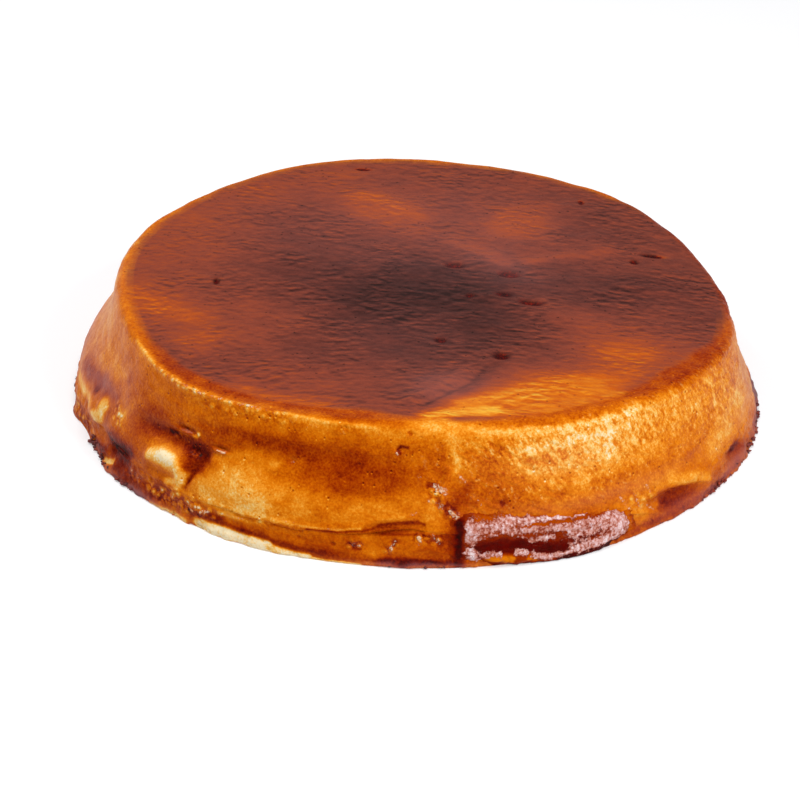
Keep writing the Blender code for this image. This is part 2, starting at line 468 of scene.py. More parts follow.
def surface_place(tree, cells, slant=0.0, shift=NO_SHIFT):
    """Object coordinates in cells for each metre, shifted by metres.

    A slant turns them about the cake's axis with height, by that many radians for each metre."""
    place = make(tree, "ShaderNodeTexCoord", out="Object")
    if slant:
        height = make(tree, "ShaderNodeSeparateXYZ", {}, {"Vector": place}, "Z")
        sockets = {"Vector": place, "Angle": height * slant}
        place = make(tree, "ShaderNodeVectorRotate", {"rotation_type": "Z_AXIS"}, sockets)
    location = [metres * count for metres, count in zip(shift, cells)]
    sockets = {"Vector": place, "Location": location, "Scale": cells}
    return make(tree, "ShaderNodeMapping", {}, sockets)


def shader_noise(tree, cells, detail=3, roughness=0.55, slant=0.0, shift=NO_SHIFT):
    """Noise with its number of cells for each metre along X, Y and Z, slanted or shifted if asked."""
    sockets = {"Vector": surface_place(tree, cells, slant, shift), "Scale": 1.0, "Detail": detail,
               "Roughness": roughness}
    return make(tree, "ShaderNodeTexNoise", {}, sockets)


def fine_grain(tree):
    return shader_noise(tree, (1300, 1300, 1300), 2, 0.6)


def nearest_cell(tree, cells, drop=0.0):
    """Distance to the middle of the nearest scattered cell, in parts of a cell; a drop moves all down."""
    sockets = {"Vector": surface_place(tree, (cells, cells, cells), 0.0, (0.0, 0.0, drop)), "Scale": 1.0}
    return make(tree, "ShaderNodeTexVoronoi", {"feature": "F1"}, sockets)


def pores(tree, cells, size, drop=0.0):
    """1 in small round pores, 0 between them."""
    return between(nearest_cell(tree, cells, drop), size, size * 0.5)


def froth_parts(tree, crumb, froth):
    """1 in round beads and 1 in the gaps between them, both only where there is froth."""
    bubble = nearest_cell(tree, 430) + (crumb - 0.5) * 0.9
    return between(bubble, 0.40, 0.12) * froth, between(bubble, 0.42, 0.66) * froth


# Mixes in a pale violet sheen: the reflection of the pale surroundings, painted into the colour
def with_painted_sheen(colour, veil, mottle):
    return mixed(veil * (0.6 + mottle * 0.8), colour, PAINTED_SHEEN)


def painted_glint_spots(crumb, grain, bead, glint):
    """1 where glints are painted into the colour: on the surface's small high spots, most of them where a
    painted glint stroke lies.
    """
    return between(crumb * 0.5 + grain * 0.7 + bead * 0.3 + glint, 1.06, 1.26)


def between(wire, start, end):
    """0 at start, 1 at end, smooth between."""
    sockets = {"Value": wire, "From Min": start, "From Max": end}
    return wire.make("ShaderNodeMapRange", {"interpolation_type": "SMOOTHSTEP"}, sockets)


def mixed(share, first, second):
    """Colour between first and second."""
    settings = {"data_type": "RGBA"}
    return share.make("ShaderNodeMix", settings, {0: share, 6: first, 7: second}, 2)


# How much brighter a surface shows in the studio than its own colour
STUDIO_LIGHT = 1.3


def tone(red, green, blue):
    """The paint that shows as this screen colour, each part from 0 to 255, in the studio's light."""
    channel = np.array([red, green, blue]) / 255
    linear = np.where(channel < 0.04045, channel / 12.92, ((channel + 0.055) / 1.055) ** 2.4)
    return (*(linear / STUDIO_LIGHT).tolist(), 1.0)


# Side: soaked custard from cream to burnt.  Top: the dull baked skin from yellow to scorched.
CARAMEL = (
    (0.00, tone(253, 234, 192)),
    (0.12, tone(252, 198, 104)),
    (0.24, tone(246, 158, 44)),
    (0.36, tone(230, 127, 12)),
    (0.48, tone(211, 103, 2)),
    (0.60, tone(185, 77, 0)),
    (0.72, tone(158, 51, 0)),
    (0.84, tone(124, 25, 2)),
    (0.93, tone(92, 7, 4)),
    (1.00, tone(46, 9, 9)),
)
CRUST = (
    (0.00, tone(247, 180, 58)),
    (0.15, tone(228, 128, 22)),
    (0.30, tone(200, 91, 18)),
    (0.45, tone(167, 74, 37)),
    (0.60, tone(143, 66, 47)),
    (0.72, tone(115, 55, 44)),
    (0.86, tone(80, 40, 35)),
    (1.00, tone(42, 23, 21)),
)
# Colour of the painted sheen: the reflection of the pale surroundings, painted into the colour
PAINTED_SHEEN = tone(186, 142, 144)
# Colour of the painted glints: highlights painted into the colour
PAINTED_GLINT = tone(250, 212, 176)
# Colour of the painted glitter: highlights painted on the sparkle
PAINTED_GLITTER = tone(255, 208, 118)
WARM_SHEEN = (1.0, 0.55, 0.12, 1.0)
# Painted reflection of a pale light on the flap, from faint to bright
PAINTED_REFLECTION_RAMP = (
    (0.00, tone(132, 52, 40)),
    (0.30, tone(190, 112, 92)),
    (0.55, tone(216, 158, 146)),
    (0.78, tone(234, 190, 190)),
    (1.00, tone(252, 234, 234)),
)


def new_finish(name, shader_values):
    """A material whose Principled shader has these values on its own sockets."""
    material = bpy.data.materials.new(name)
    material.use_nodes = True
    shader = material.node_tree.nodes["Principled BSDF"]
    for socket, value in shader_values.items():
        shader.inputs[socket].default_value = value
    return material, material.node_tree, shader


def connect(tree, shader, wires, height, strength, distance):
    """Joins wires to the shader's sockets, and a bump by its height, strength and depth in metres."""
    sockets = {"Height": height, "Strength": strength, "Distance": distance}
    wires["Normal"] = height.make("ShaderNodeBump", {}, sockets)
    for socket, wire in wires.items():
        tree.links.new(wire.socket, shader.inputs[socket])


def ramped(depth, stops):
    return depth.make("ShaderNodeValToRGB", {"stops": stops}, {"Fac": depth})


def custard_finish():
    """Custard soaked in caramel, and its baked skin.

    The colour goes by how deep the caramel went or how dark the skin baked, with pores, glitter and ripples
    that carry painted light and shade, a painted sheen of reflection, and painted glints."""
    values = {"IOR": 1.45, "Specular IOR Level": 0.05, "Specular Tint": WARM_SHEEN, "Coat Roughness": 0.10}
    material, tree, shader = new_finish("soaked_custard", values)
    depth, crust, skin, veil = attributes(tree, "depth", "crust", "skin", "veil")
    glint, glitter, gloss, froth = attributes(tree, "glint", "glitter", "gloss", "froth")
    mottle = shader_noise(tree, (90, 90, 130), 3, 0.6)
    film = shader_noise(tree, (300, 300, 300), 3, 0.62)
    grain = fine_grain(tree)
    ripples = shader_noise(tree, (240, 380, 380), 1, 0.5)
    ripples_shifted_for_painted_shading = shader_noise(tree, (240, 380, 380), 1, 0.5, 0.0, (0.0, 0.0012, 0.0))
    wavy = between(shader_noise(tree, (48, 48, 48), 2, 0.5), 0.36, 0.66)
    strands = shader_noise(tree, (640, 640, 230), 3, 0.66, 4)
    dimples = shader_noise(tree, (620, 620, 620), 3, 0.68)
    bead, gap = froth_parts(tree, film, froth)
    patchy = between(mottle, 0.43, 0.57)
    # Painted shade in the pores, as well as a dent in the bump, and a painted highlight on each pore's lower
    # lip
    pore = pores(tree, 330, 0.16) * patchy
    pore_lip_painted_light = pores(tree, 330, 0.16, 0.0005) * patchy * (1 - pore)
    sparkle = dimples * 0.5 + strands * 0.5
    # Painted light on the sparkle's high spots and painted shade on its low ones
    lit = between(sparkle, 0.44, 0.62) * glitter
    dull = between(1 - sparkle, 0.50, 0.64) * glitter
    side = (depth + (mottle - 0.5) * 0.14 + (film - 0.5) * 0.28 + (grain - 0.5) * 0.44 + pore * 0.17
            - pore_lip_painted_light * 0.20 - lit * 0.14 + dull * 0.20 - bead * 0.30 + gap * 0.30)
    # Painted relief on the top: the ripples less a copy shifted along Y paint light and shade
    top = (crust + (ripples_shifted_for_painted_shading - ripples) * (0.18 + wavy * 0.44) + (mottle - 0.5) * 0.14
           + (film - 0.5) * 0.16 + (grain - 0.5) * 0.10 + pore * 0.14)
    colour = with_painted_sheen(mixed(skin, ramped(side, CARAMEL), ramped(top, CRUST)), veil, mottle)
    # Painted glitter highlights on the sparkle
    colour = mixed(glitter * between(sparkle, 0.55, 0.66) * 0.75, colour, PAINTED_GLITTER)
    # Painted glints: the colour is pulled towards a highlight colour, and the roughness drops there
    shining = painted_glint_spots(film, grain, bead, glint)
    colour = mixed(shining * 0.8, colour, PAINTED_GLINT)
    rough = 0.36 + skin * 0.06 + (film - 0.5) * 0.3 - shining * 0.2 - gloss * 0.16 - pore_lip_painted_light * 0.15
    height = (skin * (ripples * (1.0 + wavy * 2.0) + film * 0.4) + (1 - skin) * (film * 0.5 + grain * 0.35)
              - pore * 0.8 + glitter * sparkle * 1.4 + shining * 0.3 + bead * 1.2 - gap * 0.6)
    wires = {"Base Color": colour, "Roughness": rough, "Coat Weight": gloss}
    connect(tree, shader, wires, height, 0.8, 0.0005)
    return material


def biscuit_finish():
    """Soaked biscuit: the same caramel over a coarser crumb, pale where it never reached, with painted shade
    in pores, a painted sheen of reflection and painted glints.
    """
    values = {"IOR": 1.45, "Specular IOR Level": 0.05, "Specular Tint": WARM_SHEEN, "Coat Roughness": 0.12}
    material, tree, shader = new_finish("soaked_biscuit", values)
    depth, veil, glint, gloss, froth = attributes(tree, "depth", "veil", "glint", "gloss", "froth")
    crumb = shader_noise(tree, (480, 480, 620), 4, 0.65)
    mottle = shader_noise(tree, (120, 120, 210), 3, 0.6)
    grain = fine_grain(tree)
    bead, gap = froth_parts(tree, crumb, froth)
    # Painted shade in the pores, as well as a dent in the bump
    pore = pores(tree, 230, 0.24) * between(mottle, 0.46, 0.60)
    soaked = (depth + (crumb - 0.5) * 0.28 + (mottle - 0.5) * 0.22 + (grain - 0.5) * 0.30 + pore * 0.12
              - bead * 0.30 + gap * 0.30)
    # Painted glints: the colour is pulled towards a highlight colour, and the roughness drops there
    shining = painted_glint_spots(crumb, grain, bead, glint)
    colour = mixed(shining * 0.8, with_painted_sheen(ramped(soaked, CARAMEL), veil, mottle), PAINTED_GLINT)
    rough = 0.38 + (crumb - 0.5) * 0.4 - shining * 0.2 - gloss * 0.16
    height = crumb * 0.8 + grain * 0.3 - pore * 0.6 + shining * 0.3 + bead * 1.2 - gap * 0.6
    wires = {"Base Color": colour, "Roughness": rough, "Coat Weight": gloss}
    connect(tree, shader, wires, height, 0.8, 0.0006)
    return material


def flap_finish():
    """Caramel set like glass: near black red, with the reflection of a pale light painted on in wrinkled
    patches.
    """
    values = {"IOR": 1.46, "Specular IOR Level": 0.03, "Specular Tint": WARM_SHEEN, "Coat Roughness": 0.08}
    material, tree, shader = new_finish("caramel_flap", values)
    depth, frost, gloss = attributes(tree, "depth", "frost", "gloss")
    mottle = shader_noise(tree, (150, 150, 220), 3, 0.6)
    specks = shader_noise(tree, (700, 700, 560), 4, 0.7)
    wrinkle = shader_noise(tree, (760, 760, 420), 3, 0.65)
    fold = shader_noise(tree, (230, 230, 330), 3, 0.5)
    # Lines of painted shade in the painted reflection, also dented in the bump
    crease = between((fold - 0.5) * (fold - 0.5), 0.0016, 0.0)
    grain = fine_grain(tree)
    soaked = depth + (mottle - 0.5) * 0.14 + (specks - 0.5) * 0.10
    # Patches of a pale light's reflection painted into the colour, which also change roughness and raise the
    # bump
    reflection_patches = between(frost + (specks - 0.5) * 1.5 + (grain - 0.5) * 0.8, 0.34, 0.62)
    reflection_brightness = frost * 0.80 + (wrinkle - 0.5) * 2.0 + (grain - 0.5) * 1.0 - crease * 0.30
    colour = mixed(reflection_patches * 0.92, ramped(soaked, CARAMEL), ramped(reflection_brightness, PAINTED_REFLECTION_RAMP))
    rough = 0.20 + reflection_patches * 0.14 + (specks - 0.5) * 0.2
    height = specks * 0.5 + wrinkle * reflection_patches * 0.9 + reflection_patches * 0.35 - crease * 0.6
    wires = {"Base Color": colour, "Roughness": rough, "Coat Weight": gloss}
    connect(tree, shader, wires, height, 0.6, 0.0005)
    return material


def crumb_finish():
    """Burnt crumbs: dark brown with a grainy violet sheen of reflection painted into the colour."""
    material, tree, shader = new_finish("burnt_crumb", {"IOR": 1.45, "Specular IOR Level": 0.3})
    grain = fine_grain(tree)
    depth, = attributes(tree, "depth")
    soaked = depth + (grain - 0.5) * 0.5
    colour = mixed(0.10 + (grain - 0.5) * 0.3, ramped(soaked, CARAMEL), PAINTED_SHEEN)
    connect(tree, shader, {"Base Color": colour, "Roughness": 0.40 + grain * 0.3}, grain, 0.6, 0.0003)
    return material


# ---- Where the caramel went --------------------------------------------------------------------
# Patches of the side: angle, climb, reach along, reach up, caramel depth, which paints shade or light
# in the rows so noted; then, where unusual, strength, edge and drift of the angle with climb
SIDE_DEPTH = {
    "far left": (-186, 0.8, 25, 0.34, 0.22),
    "far left low": (-174, 0.12, 14, 0.08, 0.44, 0.9, 3),
    "left pale shoulder": (-163, 0.62, 4, 0.1, 0.22, 0.8, 3),
    "left upper": (-150, 0.93, 12, 0.09, 0.45, 0.9, 3),
    "left shoulder": (-145, 0.75, 11, 0.12, 0.5, 0.9, 3),
    "far right": (-4, 0.6, 14, 0.6, 0.26, 1, 3),
    "far right upper": (-20, 0.8, 10, 0.22, 0.42, 0.9, 3),
    "front upper left": (-122, 0.9, 14, 0.05, 0.5, 0.9),
    "front upper": (-101, 0.92, 13, 0.07, 0.4, 0.9, 3),
    "front upper right": (-89, 0.93, 5, 0.07, 0.27, 0.9, 3),
    "red band left": (-116, 0.775, 7.6, 0.06, 0.78),
    "red band tail": (-123.5, 0.72, 3.6, 0.11, 0.76, 0.9),
    "red band middle": (-102, 0.665, 8.6, 0.125, 0.8, 1, 4, 10),
    "red band right": (-94, 0.66, 3.8, 0.1, 0.74, 0.9, 3),
    "red band end": (-88.5, 0.68, 3.2, 0.12, 0.6, 0.9, 3),
    "amber shoulder": (-112.5, 0.655, 5.4, 0.045, 0.6, 0.9, 3, -40),
    "amber": (-106, 0.39, 17, 0.115, 0.37),
    "amber top right": (-99, 0.55, 7, 0.05, 0.72, 0.8, 3),
    "amber heart": (-118.8, 0.4, 6.5, 0.185, 0.16, 1, 5),
    "heart low": (-122.5, 0.3, 4.5, 0.07, 0.15, 0.9, 3),
    "front bright": (-86.8, 0.44, 2.6, 0.11, 0.24, 1, 3),
    "right pale rim": (-63, 0.945, 14, 0.05, 0.09, 1, 5),
    "right pale rim end": (-45, 0.93, 10, 0.07, 0.2, 0.9, 3),
    "right upper": (-60, 0.8, 17, 0.12, 0.19),
    "right upper end": (-40, 0.8, 10, 0.14, 0.25, 0.9, 3),
    "right middle": (-58, 0.6, 16, 0.085, 0.28),
    "right middle end": (-42, 0.6, 10, 0.08, 0.4, 0.9, 3),
    "right lower": (-56, 0.45, 19, 0.07, 0.42, 1, 3),
    "right belt": (-44, 0.43, 9, 0.06, 0.49, 0.9, 3),
    "brown upper": (-78.2, 0.74, 4.2, 0.12, 0.42, 1, 3),
    "brown by the flap": (-78.5, 0.5, 5.2, 0.15, 0.54, 1, 3),
    "edge brown": (-86.8, 0.74, 1.3, 0.13, 0.54, 0.8, 3),
    "red by the flap": (-83.6, 0.51, 2, 0.1, 0.7, 1, 4, 12),
    "low band": (-108, 0.125, 27, 0.1, 0.56, 1, 6),
    "low band left": (-119, 0.205, 11, 0.03, 0.34, 0.9, 3),
    "low band foot": (-105, 0.055, 5.5, 0.034, 0.82, 1, 3),
    "low middle glow": (-94.8, 0.11, 2.6, 0.035, 0.46, 0.9, 3),
    # Painted shade beside the flap
    "by the shadow": (-85.8, 0.15, 1.6, 0.08, 0.7, 0.8, 3),
    # Painted shade in the recess under the lip
    "recess": (-94.6, 0.275, 5, 0.046, 0.66, 1, 5, 60),
    "hollow tail": (-139.5, 0.53, 3.4, 0.055, 0.7, 0.9, 3),
    # Painted shade in the low hollow at the left
    "left low hollow": (-145.8, 0.225, 5.4, 0.125, 0.9, 1, 5),
    "left low hollow right": (-142.4, 0.29, 2.4, 0.05, 0.8, 0.9, 3),
    "left knee": (-142.5, 0.4, 3.2, 0.1, 0.66, 0.9, 3),
    "left knee glow": (-148.5, 0.455, 2.4, 0.045, 0.36, 0.9, 3),
    "left middle": (-151, 0.37, 1.8, 0.08, 0.6, 0.9, 3),
    "left step": (-153, 0.55, 5, 0.05, 0.52, 0.8, 3),
    "violet band": (-164.5, 0.43, 4, 0.085, 0.62, 1, 4, 60),
    "violet band right": (-157.5, 0.48, 2.6, 0.04, 0.64, 0.9, 3),
    "left swell foot": (-156.8, 0.175, 4.2, 0.05, 0.58, 0.9, 3),
    "left foot band": (-137, 0.105, 6, 0.07, 0.66, 0.9),
    "left glow": (-136, 0.15, 3, 0.025, 0.45, 0.7, 3),
    "dark foot": (-90, 0.042, 6.8, 0.03, 0.9, 1, 6),
    # Painted shadow of the flap
    "flap shadow": (-83.7, 0.14, 1.3, 0.18, 0.94),
    "right amber": (-29, 0.36, 6, 0.09, 0.22, 1, 3),
    "right amber upper": (-20, 0.5, 5, 0.12, 0.22, 0.9, 3),
    "right dark": (-44, 0.185, 5.2, 0.062, 0.84, 1, 5, -25),
    "right dark low": (-42.5, 0.105, 4.5, 0.04, 0.8),
    "right low": (-34, 0.115, 4.5, 0.06, 0.54, 0.9, 3),
    "right spot": (-23.6, 0.15, 2.8, 0.06, 0.92, 1, 4, -20),
    "right spot foot": (-23, 0.09, 3, 0.04, 0.78, 0.8, 3),
    "ribs": (-53, 0.24, 4.2, 0.12, 0.3, 0.9),
    "right foot": (-38, 0.04, 17, 0.03, 0.74, 1, 5),
    "far right foot": (2, 0.06, 14, 0.09, 0.92, 1, 5),
    "right side band": (22, 0.62, 12, 0.1, 0.62, 0.8, 3),
    "back right amber": (50, 0.45, 14, 0.15, 0.3, 0.9, 3),
    "back band": (108, 0.76, 38, 0.12, 0.72, 0.9, 3),
    "back amber": (130, 0.38, 16, 0.13, 0.3, 0.9, 3),
    "back hollow": (84, 0.3, 7, 0.1, 0.82, 0.9, 3, 15),
    "back low": (95, 0.12, 34, 0.09, 0.66, 0.9, 3),
    "back left": (165, 0.3, 10, 0.1, 0.5, 0.8, 3),
    "back foot": (100, 0.025, 70, 0.035, 0.86, 0.9, 5),
    "back rim": (90, 1.03, 115, 0.06, 0.42, 0.9),
    "left rim": (-160, 1.07, 16, 0.06, 0.44, 0.9),
    "right rim": (-28, 1.1, 18, 0.105, 0.71, 1, 5),
    "left front rim": (-136, 1.1, 13, 0.08, 0.7, 1, 6),
    "front rim": (-101, 1.09, 7, 0.075, 0.66, 1, 5),
    "front yellow rim": (-86, 1.06, 5, 0.1, 0.18),
    "right front rim": (-62, 1.085, 16, 0.075, 0.5, 1, 5),
    # Painted shade in the hollow above the fold (hollow, hollow right)
    "hollow": (-134.4, 0.58, 6.4, 0.062, 0.82, 1, 5),
    "hollow right": (-127.6, 0.555, 2.6, 0.07, 0.9),
    "over the hollow": (-137, 0.665, 4.6, 0.065, 0.68, 0.9),
    # Painted shade in the fold's mouth
    "fold mouth": (-127.3, 0.48, 1.9, 0.08, 0.88, 1, 5, 10),
    # Painted shade under the crest, then painted light on the crest
    "under the crest": (-134.6, 0.29, 3.4, 0.055, 0.56),
    "crest": (-132.6, 0.395, 3.8, 0.05, 0.18, 1, 4, -25),
    "right rim inner": (-40, 1.16, 24, 0.075, 0.66),
    "left rim inner": (-126, 1.155, 28, 0.07, 0.7),
    "under the rim": (-116, 0.965, 20, 0.025, 0.36, 0.9),
    "left front rim right": (-115, 1.065, 9, 0.06, 0.53),
    "far right rim": (18, 1.02, 30, 0.085, 0.72, 1, 5),
}

# Line of (angle, climb) along the rim, which several strokes and a ridge follow; the strokes of depth and
# glints along it paint a highlight
RIM_LINE = ((-152, 1.010), (-142, 0.992), (-136, 0.978), (-130, 0.985), (-125, 1.000), (-119, 1.008),
            (-113, 1.004), (-105, 0.985), (-98, 0.978))
# Strokes on the side: path of (angle, climb), half width in millimetres, caramel depth, which paints
# shade or light in the rows so noted; then, where unusual, strength and edge
SIDE_STROKES = {
    # Painted shade in the fold's groove
    "wedge point": (((-126.4, 0.5), (-127.2, 0.42), (-128.6, 0.265)), 1.05, 0.86, 1, 5),
    "low behind": (((-139, 0.235), (-134, 0.225)), 1.4, 0.6, 0.9),
    # Painted light on the crest (crest, crest light, crest end light, crest foot)
    "crest": (((-136.6, 0.405), (-133.8, 0.432), (-131.2, 0.424), (-129.8, 0.385), (-129.3, 0.3)),
              1.7, 0.12, 1, 5),
    "crest light": (((-134.8, 0.425), (-131.6, 0.415)), 1.3, 0.02, 0.9),
    "crest end light": (((-130.2, 0.375), (-129.6, 0.3)), 0.9, 0.06, 0.8),
    "crest foot": (((-129.9, 0.29), (-132.4, 0.25)), 1, 0.2, 0.9),
    "beside the fold": (((-129.8, 0.225), (-126.5, 0.215)), 1.4, 0.22, 0.8, 3),
    "froth": (((-136, 0.13), (-130, 0.145), (-125, 0.145)), 2, 0.46, 0.8),
    "heart upper edge": (((-124, 0.56), (-119, 0.66), (-113.5, 0.625)), 1.2, 0.3, 0.7, 3),
    "amber foot": (((-124, 0.255), (-117, 0.25), (-110, 0.265)), 1.3, 0.16, 0.7, 3),
    "low light": (((-125, 0.175), (-121.5, 0.185), (-116.5, 0.196)), 0.6, 0.2, 0.8, 3),
    "rust edge": (((-127, 0.105), (-121, 0.115), (-115, 0.105), (-109, 0.07)), 0.9, 0.82, 0.9, 3),
    "pale strip": (((-125.2, 0.036), (-119, 0.046), (-112.5, 0.044)), 1.8, 0.02, 1, 10),
    "pale strip right": (((-112.5, 0.034), (-106, 0.006)), 1.1, 0.05, 1, 7),
    "pale strip end": (((-108, 0), (-98, 0)), 0.45, 0.1, 1, 5),
    "pale strip left": (((-135.5, 0.004), (-127.5, 0.02)), 0.8, 0.12, 1, 5),
    "grey foot": (((-145.5, 0.01), (-136, 0.004)), 0.7, 0.9, 0.8),
    # Painted highlight along the lip, then painted shade under it and in the recess
    "lip line": (((-112, 0.25), (-106, 0.247), (-101, 0.256), (-98.6, 0.275)), 0.45, 0.18, 0.8, 3),
    "lip shadow": (((-107, 0.228), (-101, 0.236), (-97.6, 0.262), (-95.6, 0.3)), 0.35, 0.84, 0.9),
    "recess edge": (((-95.8, 0.3), (-93, 0.33), (-90.2, 0.338), (-88.8, 0.322)), 0.5, 0.84, 0.9),
    "recess foot": (((-96, 0.243), (-90, 0.255), (-86, 0.235)), 0.35, 0.8, 0.7),
    "over the recess": (((-96, 0.35), (-92.5, 0.372)), 0.6, 0.24, 0.6, 3),
    "nick": (((-92.2, 0.845), (-93.4, 0.85), (-93.9, 0.825), (-93.3, 0.8)), 0.35, 0.86),
    "upper nick": (((-92, 0.955), (-91.8, 0.935)), 0.6, 0.72, 0.9),
    "yellow edge": (((-84.8, 0.99), (-85, 0.88), (-84.5, 0.77), (-84, 0.7)), 1.5, 0.2, 0.8, 3),
    "brown edge": (((-86.9, 0.86), (-86.4, 0.68)), 1.2, 0.6, 0.7, 3),
    "brown above the flap": (((-83.4, 0.48), (-79.5, 0.505), (-76.5, 0.45)), 1.8, 0.64, 0.8, 3),
    "pore": (((-76.9, 0.465), (-76.7, 0.455)), 0.7, 0.88, 1, 5),
    "front rim glow": (((-78, 1.06), (-70, 1.06), (-60, 1.065)), 1.6, 0.5, 0.9, 3),
    "front pale rim": (((-83, 1), (-77, 0.975), (-68, 0.96), (-58, 0.962), (-50, 0.97)), 1.3, 0.12, 0.7, 3),
    "left swell": (((-154.6, 0.395), (-154.6, 0.31), (-156.5, 0.275)), 2.2, 0.12, 1, 7),
    "left swell edge": (((-151.9, 0.41), (-151.8, 0.28)), 0.9, 0.66, 0.9),
    "left streak": (((-159, 0.31), (-165, 0.275), (-172, 0.245)), 1.4, 0.2),
    "left pale foot": (((-150.6, 0.04), (-148, 0.07), (-146.9, 0.1)), 0.9, 0, 1, 6),
    # Painted shade in the low hollow at the left
    "left low dark": (((-148.5, 0.18), (-144, 0.26), (-142, 0.3)), 2.4, 0.92),
    "left foot dark": (((-156, 0.06), (-152.5, 0.08), (-150.5, 0.11)), 1.4, 0.88, 0.9),
    "right ridge": (((-45, 0.31), (-40.5, 0.25), (-36.5, 0.185)), 1.9, 0.24, 0.9),
    "right dark heart": (((-47.5, 0.15), (-44, 0.1)), 1.3, 0.86, 0.8, 3),
    # Painted highlight along the rim
    "rim line": (RIM_LINE, 0.85, 0.2, 0.85, 3),
    "mauve line": (((-173, 0.37), (-166, 0.41), (-160, 0.44)), 1.8, 0.7, 0.9, 3),
    "left red spot": (((-161, 0.395), (-160, 0.405)), 1.2, 0.84, 0.9, 3),
    "mauve top": (((-157, 0.47), (-151.5, 0.52)), 1.4, 0.66, 0.8, 3),
    "left glow": (((-149.5, 0.44), (-146.5, 0.5)), 1.6, 0.24, 0.8, 3),
    "left foot glow": (((-159.5, 0.095), (-157, 0.085)), 0.9, 0.3, 0.8),
    "left ochre": (((-158, 0.665), (-152, 0.7)), 2, 0.32, 0.7, 3),
    "hollow glow": (((-141, 0.24), (-138, 0.265)), 1.2, 0.5, 0.7, 3),
    "upper arc": (((-75.5, 0.76), (-71, 0.83), (-64, 0.85), (-57, 0.81)), 1.3, 0.12, 0.6, 3),
    "middle arc": (((-74, 0.69), (-69, 0.655), (-62, 0.65), (-56, 0.69)), 1.4, 0.14, 0.55, 3),
    "low arc": (((-70, 0.56), (-64, 0.53), (-58, 0.56)), 1.2, 0.22, 0.5, 3),
    "lines of the right end": (((-30, 0.92), (-27.5, 0.8), (-28.5, 0.66)), 0.8, 0.14, 0.7, 3),
    "pit beads": (((-132, 0.652), (-128.6, 0.676)), 0.8, 0.3, 0.9),
    "fold beads": (((-128.6, 0.53), (-127.6, 0.524)), 0.4, 0.4, 0.7),
    "foot left of the froth": (((-146, 0.08), (-138, 0.07)), 2, 0.84, 0.8, 3),
}

# Patches of pale violet sheen on the side, a reflection of the pale surroundings painted into the colour:
# the same columns as for depth
SIDE_PAINTED_SHEEN = {
    "left end": (-180, 0.66, 12, 0.4, 0.16),
    "violet band": (-164, 0.43, 4.2, 0.095, 0.22, 1, 3, 60),
    "violet spot": (-155.5, 0.51, 4, 0.05, 0.22, 1, 3),
    "middle right": (-58, 0.39, 14, 0.05, 0.06, 1, 3),
    "far right": (-6, 0.3, 8, 0.45, 0.24),
    "right foot": (-26, 0.05, 16, 0.04, 0.26, 1, 3),
    "dark foot": (-90, 0.012, 8, 0.018, 0.2),
    "left foot": (-140, 0.01, 9, 0.03, 0.34),
    "left notch": (-154, 0.05, 2, 0.04, 0.2),
    "far right foot": (2, 0.05, 13, 0.08, 0.34, 1, 5),
    "arcs": (-66, 0.72, 9, 0.12, 0.06, 1, 3),
    "left shoulder": (-149.5, 0.66, 2.4, 0.14, 0.14, 1, 3, -30),
}
# Strokes of painted glints, highlights painted into the colour with a little real coat: the same columns as
# for strokes of depth
SIDE_PAINTED_GLINTS = {
    "rim line": (RIM_LINE[1:7], 0.7, 0.42),
    "rim line bright": (((-131, 0.985), (-124, 1.002), (-117, 1.008)), 0.65, 0.44),
    "edge upper": (((-87.8, 0.585), (-86, 0.55)), 1.3, 0.54),
    "edge middle": (((-88.2, 0.48), (-86.4, 0.45)), 1.1, 0.48),
    "edge lower": (((-85, 0.42), (-83.8, 0.37)), 0.9, 0.56),
    "edge top": (((-83.4, 0.65), (-82.8, 0.615)), 0.9, 0.52),
    "edge streak": (((-81.4, 0.52), (-80, 0.45)), 0.8, 0.42),
    "low left": (((-99.8, 0.145), (-98.4, 0.15)), 1, 0.46),
    "low middle": (((-93.9, 0.12), (-93, 0.19)), 0.9, 0.48),
    "low right": (((-89.7, 0.25), (-89.2, 0.185)), 0.9, 0.48),
    "by the shadow": (((-87.6, 0.25), (-86.6, 0.19)), 0.9, 0.46),
    "over the recess": (((-91.5, 0.39), (-90.6, 0.4)), 0.6, 0.48),
    "left low": (((-141.4, 0.17), (-138, 0.15)), 1.1, 0.44),
    "froth": (((-135.5, 0.15), (-130, 0.15), (-125, 0.15)), 1.6, 0.34),
    "upper left": (((-131.6, 0.66), (-130, 0.668), (-128.6, 0.68)), 0.55, 0.36),
    "fold": (((-128.4, 0.532), (-127.2, 0.526)), 0.5, 0.3),
    "long pit": (((-124, 0.618), (-122.4, 0.618)), 0.35, 0.7),
    "under the amber": (((-124.6, 0.15), (-123, 0.165)), 0.7, 0.54),
    "low light": (((-122, 0.188), (-117, 0.198)), 0.4, 0.46),
    "amber foot": (((-111, 0.265), (-108.5, 0.268)), 0.5, 0.44),
    "lip": (((-109, 0.248), (-101.5, 0.255)), 0.4, 0.4),
    "beside the hollow": (((-153.2, 0.23), (-152.6, 0.255)), 0.7, 0.48),
    "ribs": (((-56.6, 0.33), (-54.6, 0.22)), 0.7, 0.52, 1, 3),
    "front nick": (((-94, 0.805), (-93.8, 0.795)), 0.4, 0.66),
    "band end": (((-90.6, 0.65), (-90.2, 0.64)), 0.6, 0.46),
    "drop": (((-110.9, 0.668), (-110.7, 0.664)), 0.4, 0.56),
    "crumbly": (((-127, 0.15), (-125, 0.12)), 1.2, 0.36),
    "ribs middle": (((-53.6, 0.33), (-52.2, 0.18)), 0.7, 0.53, 1, 3),
    "ribs right": (((-51.2, 0.36), (-50, 0.27)), 0.6, 0.52, 1, 3),
    "ribs low": (((-51, 0.2), (-49.6, 0.13)), 0.6, 0.5, 1, 3),
}
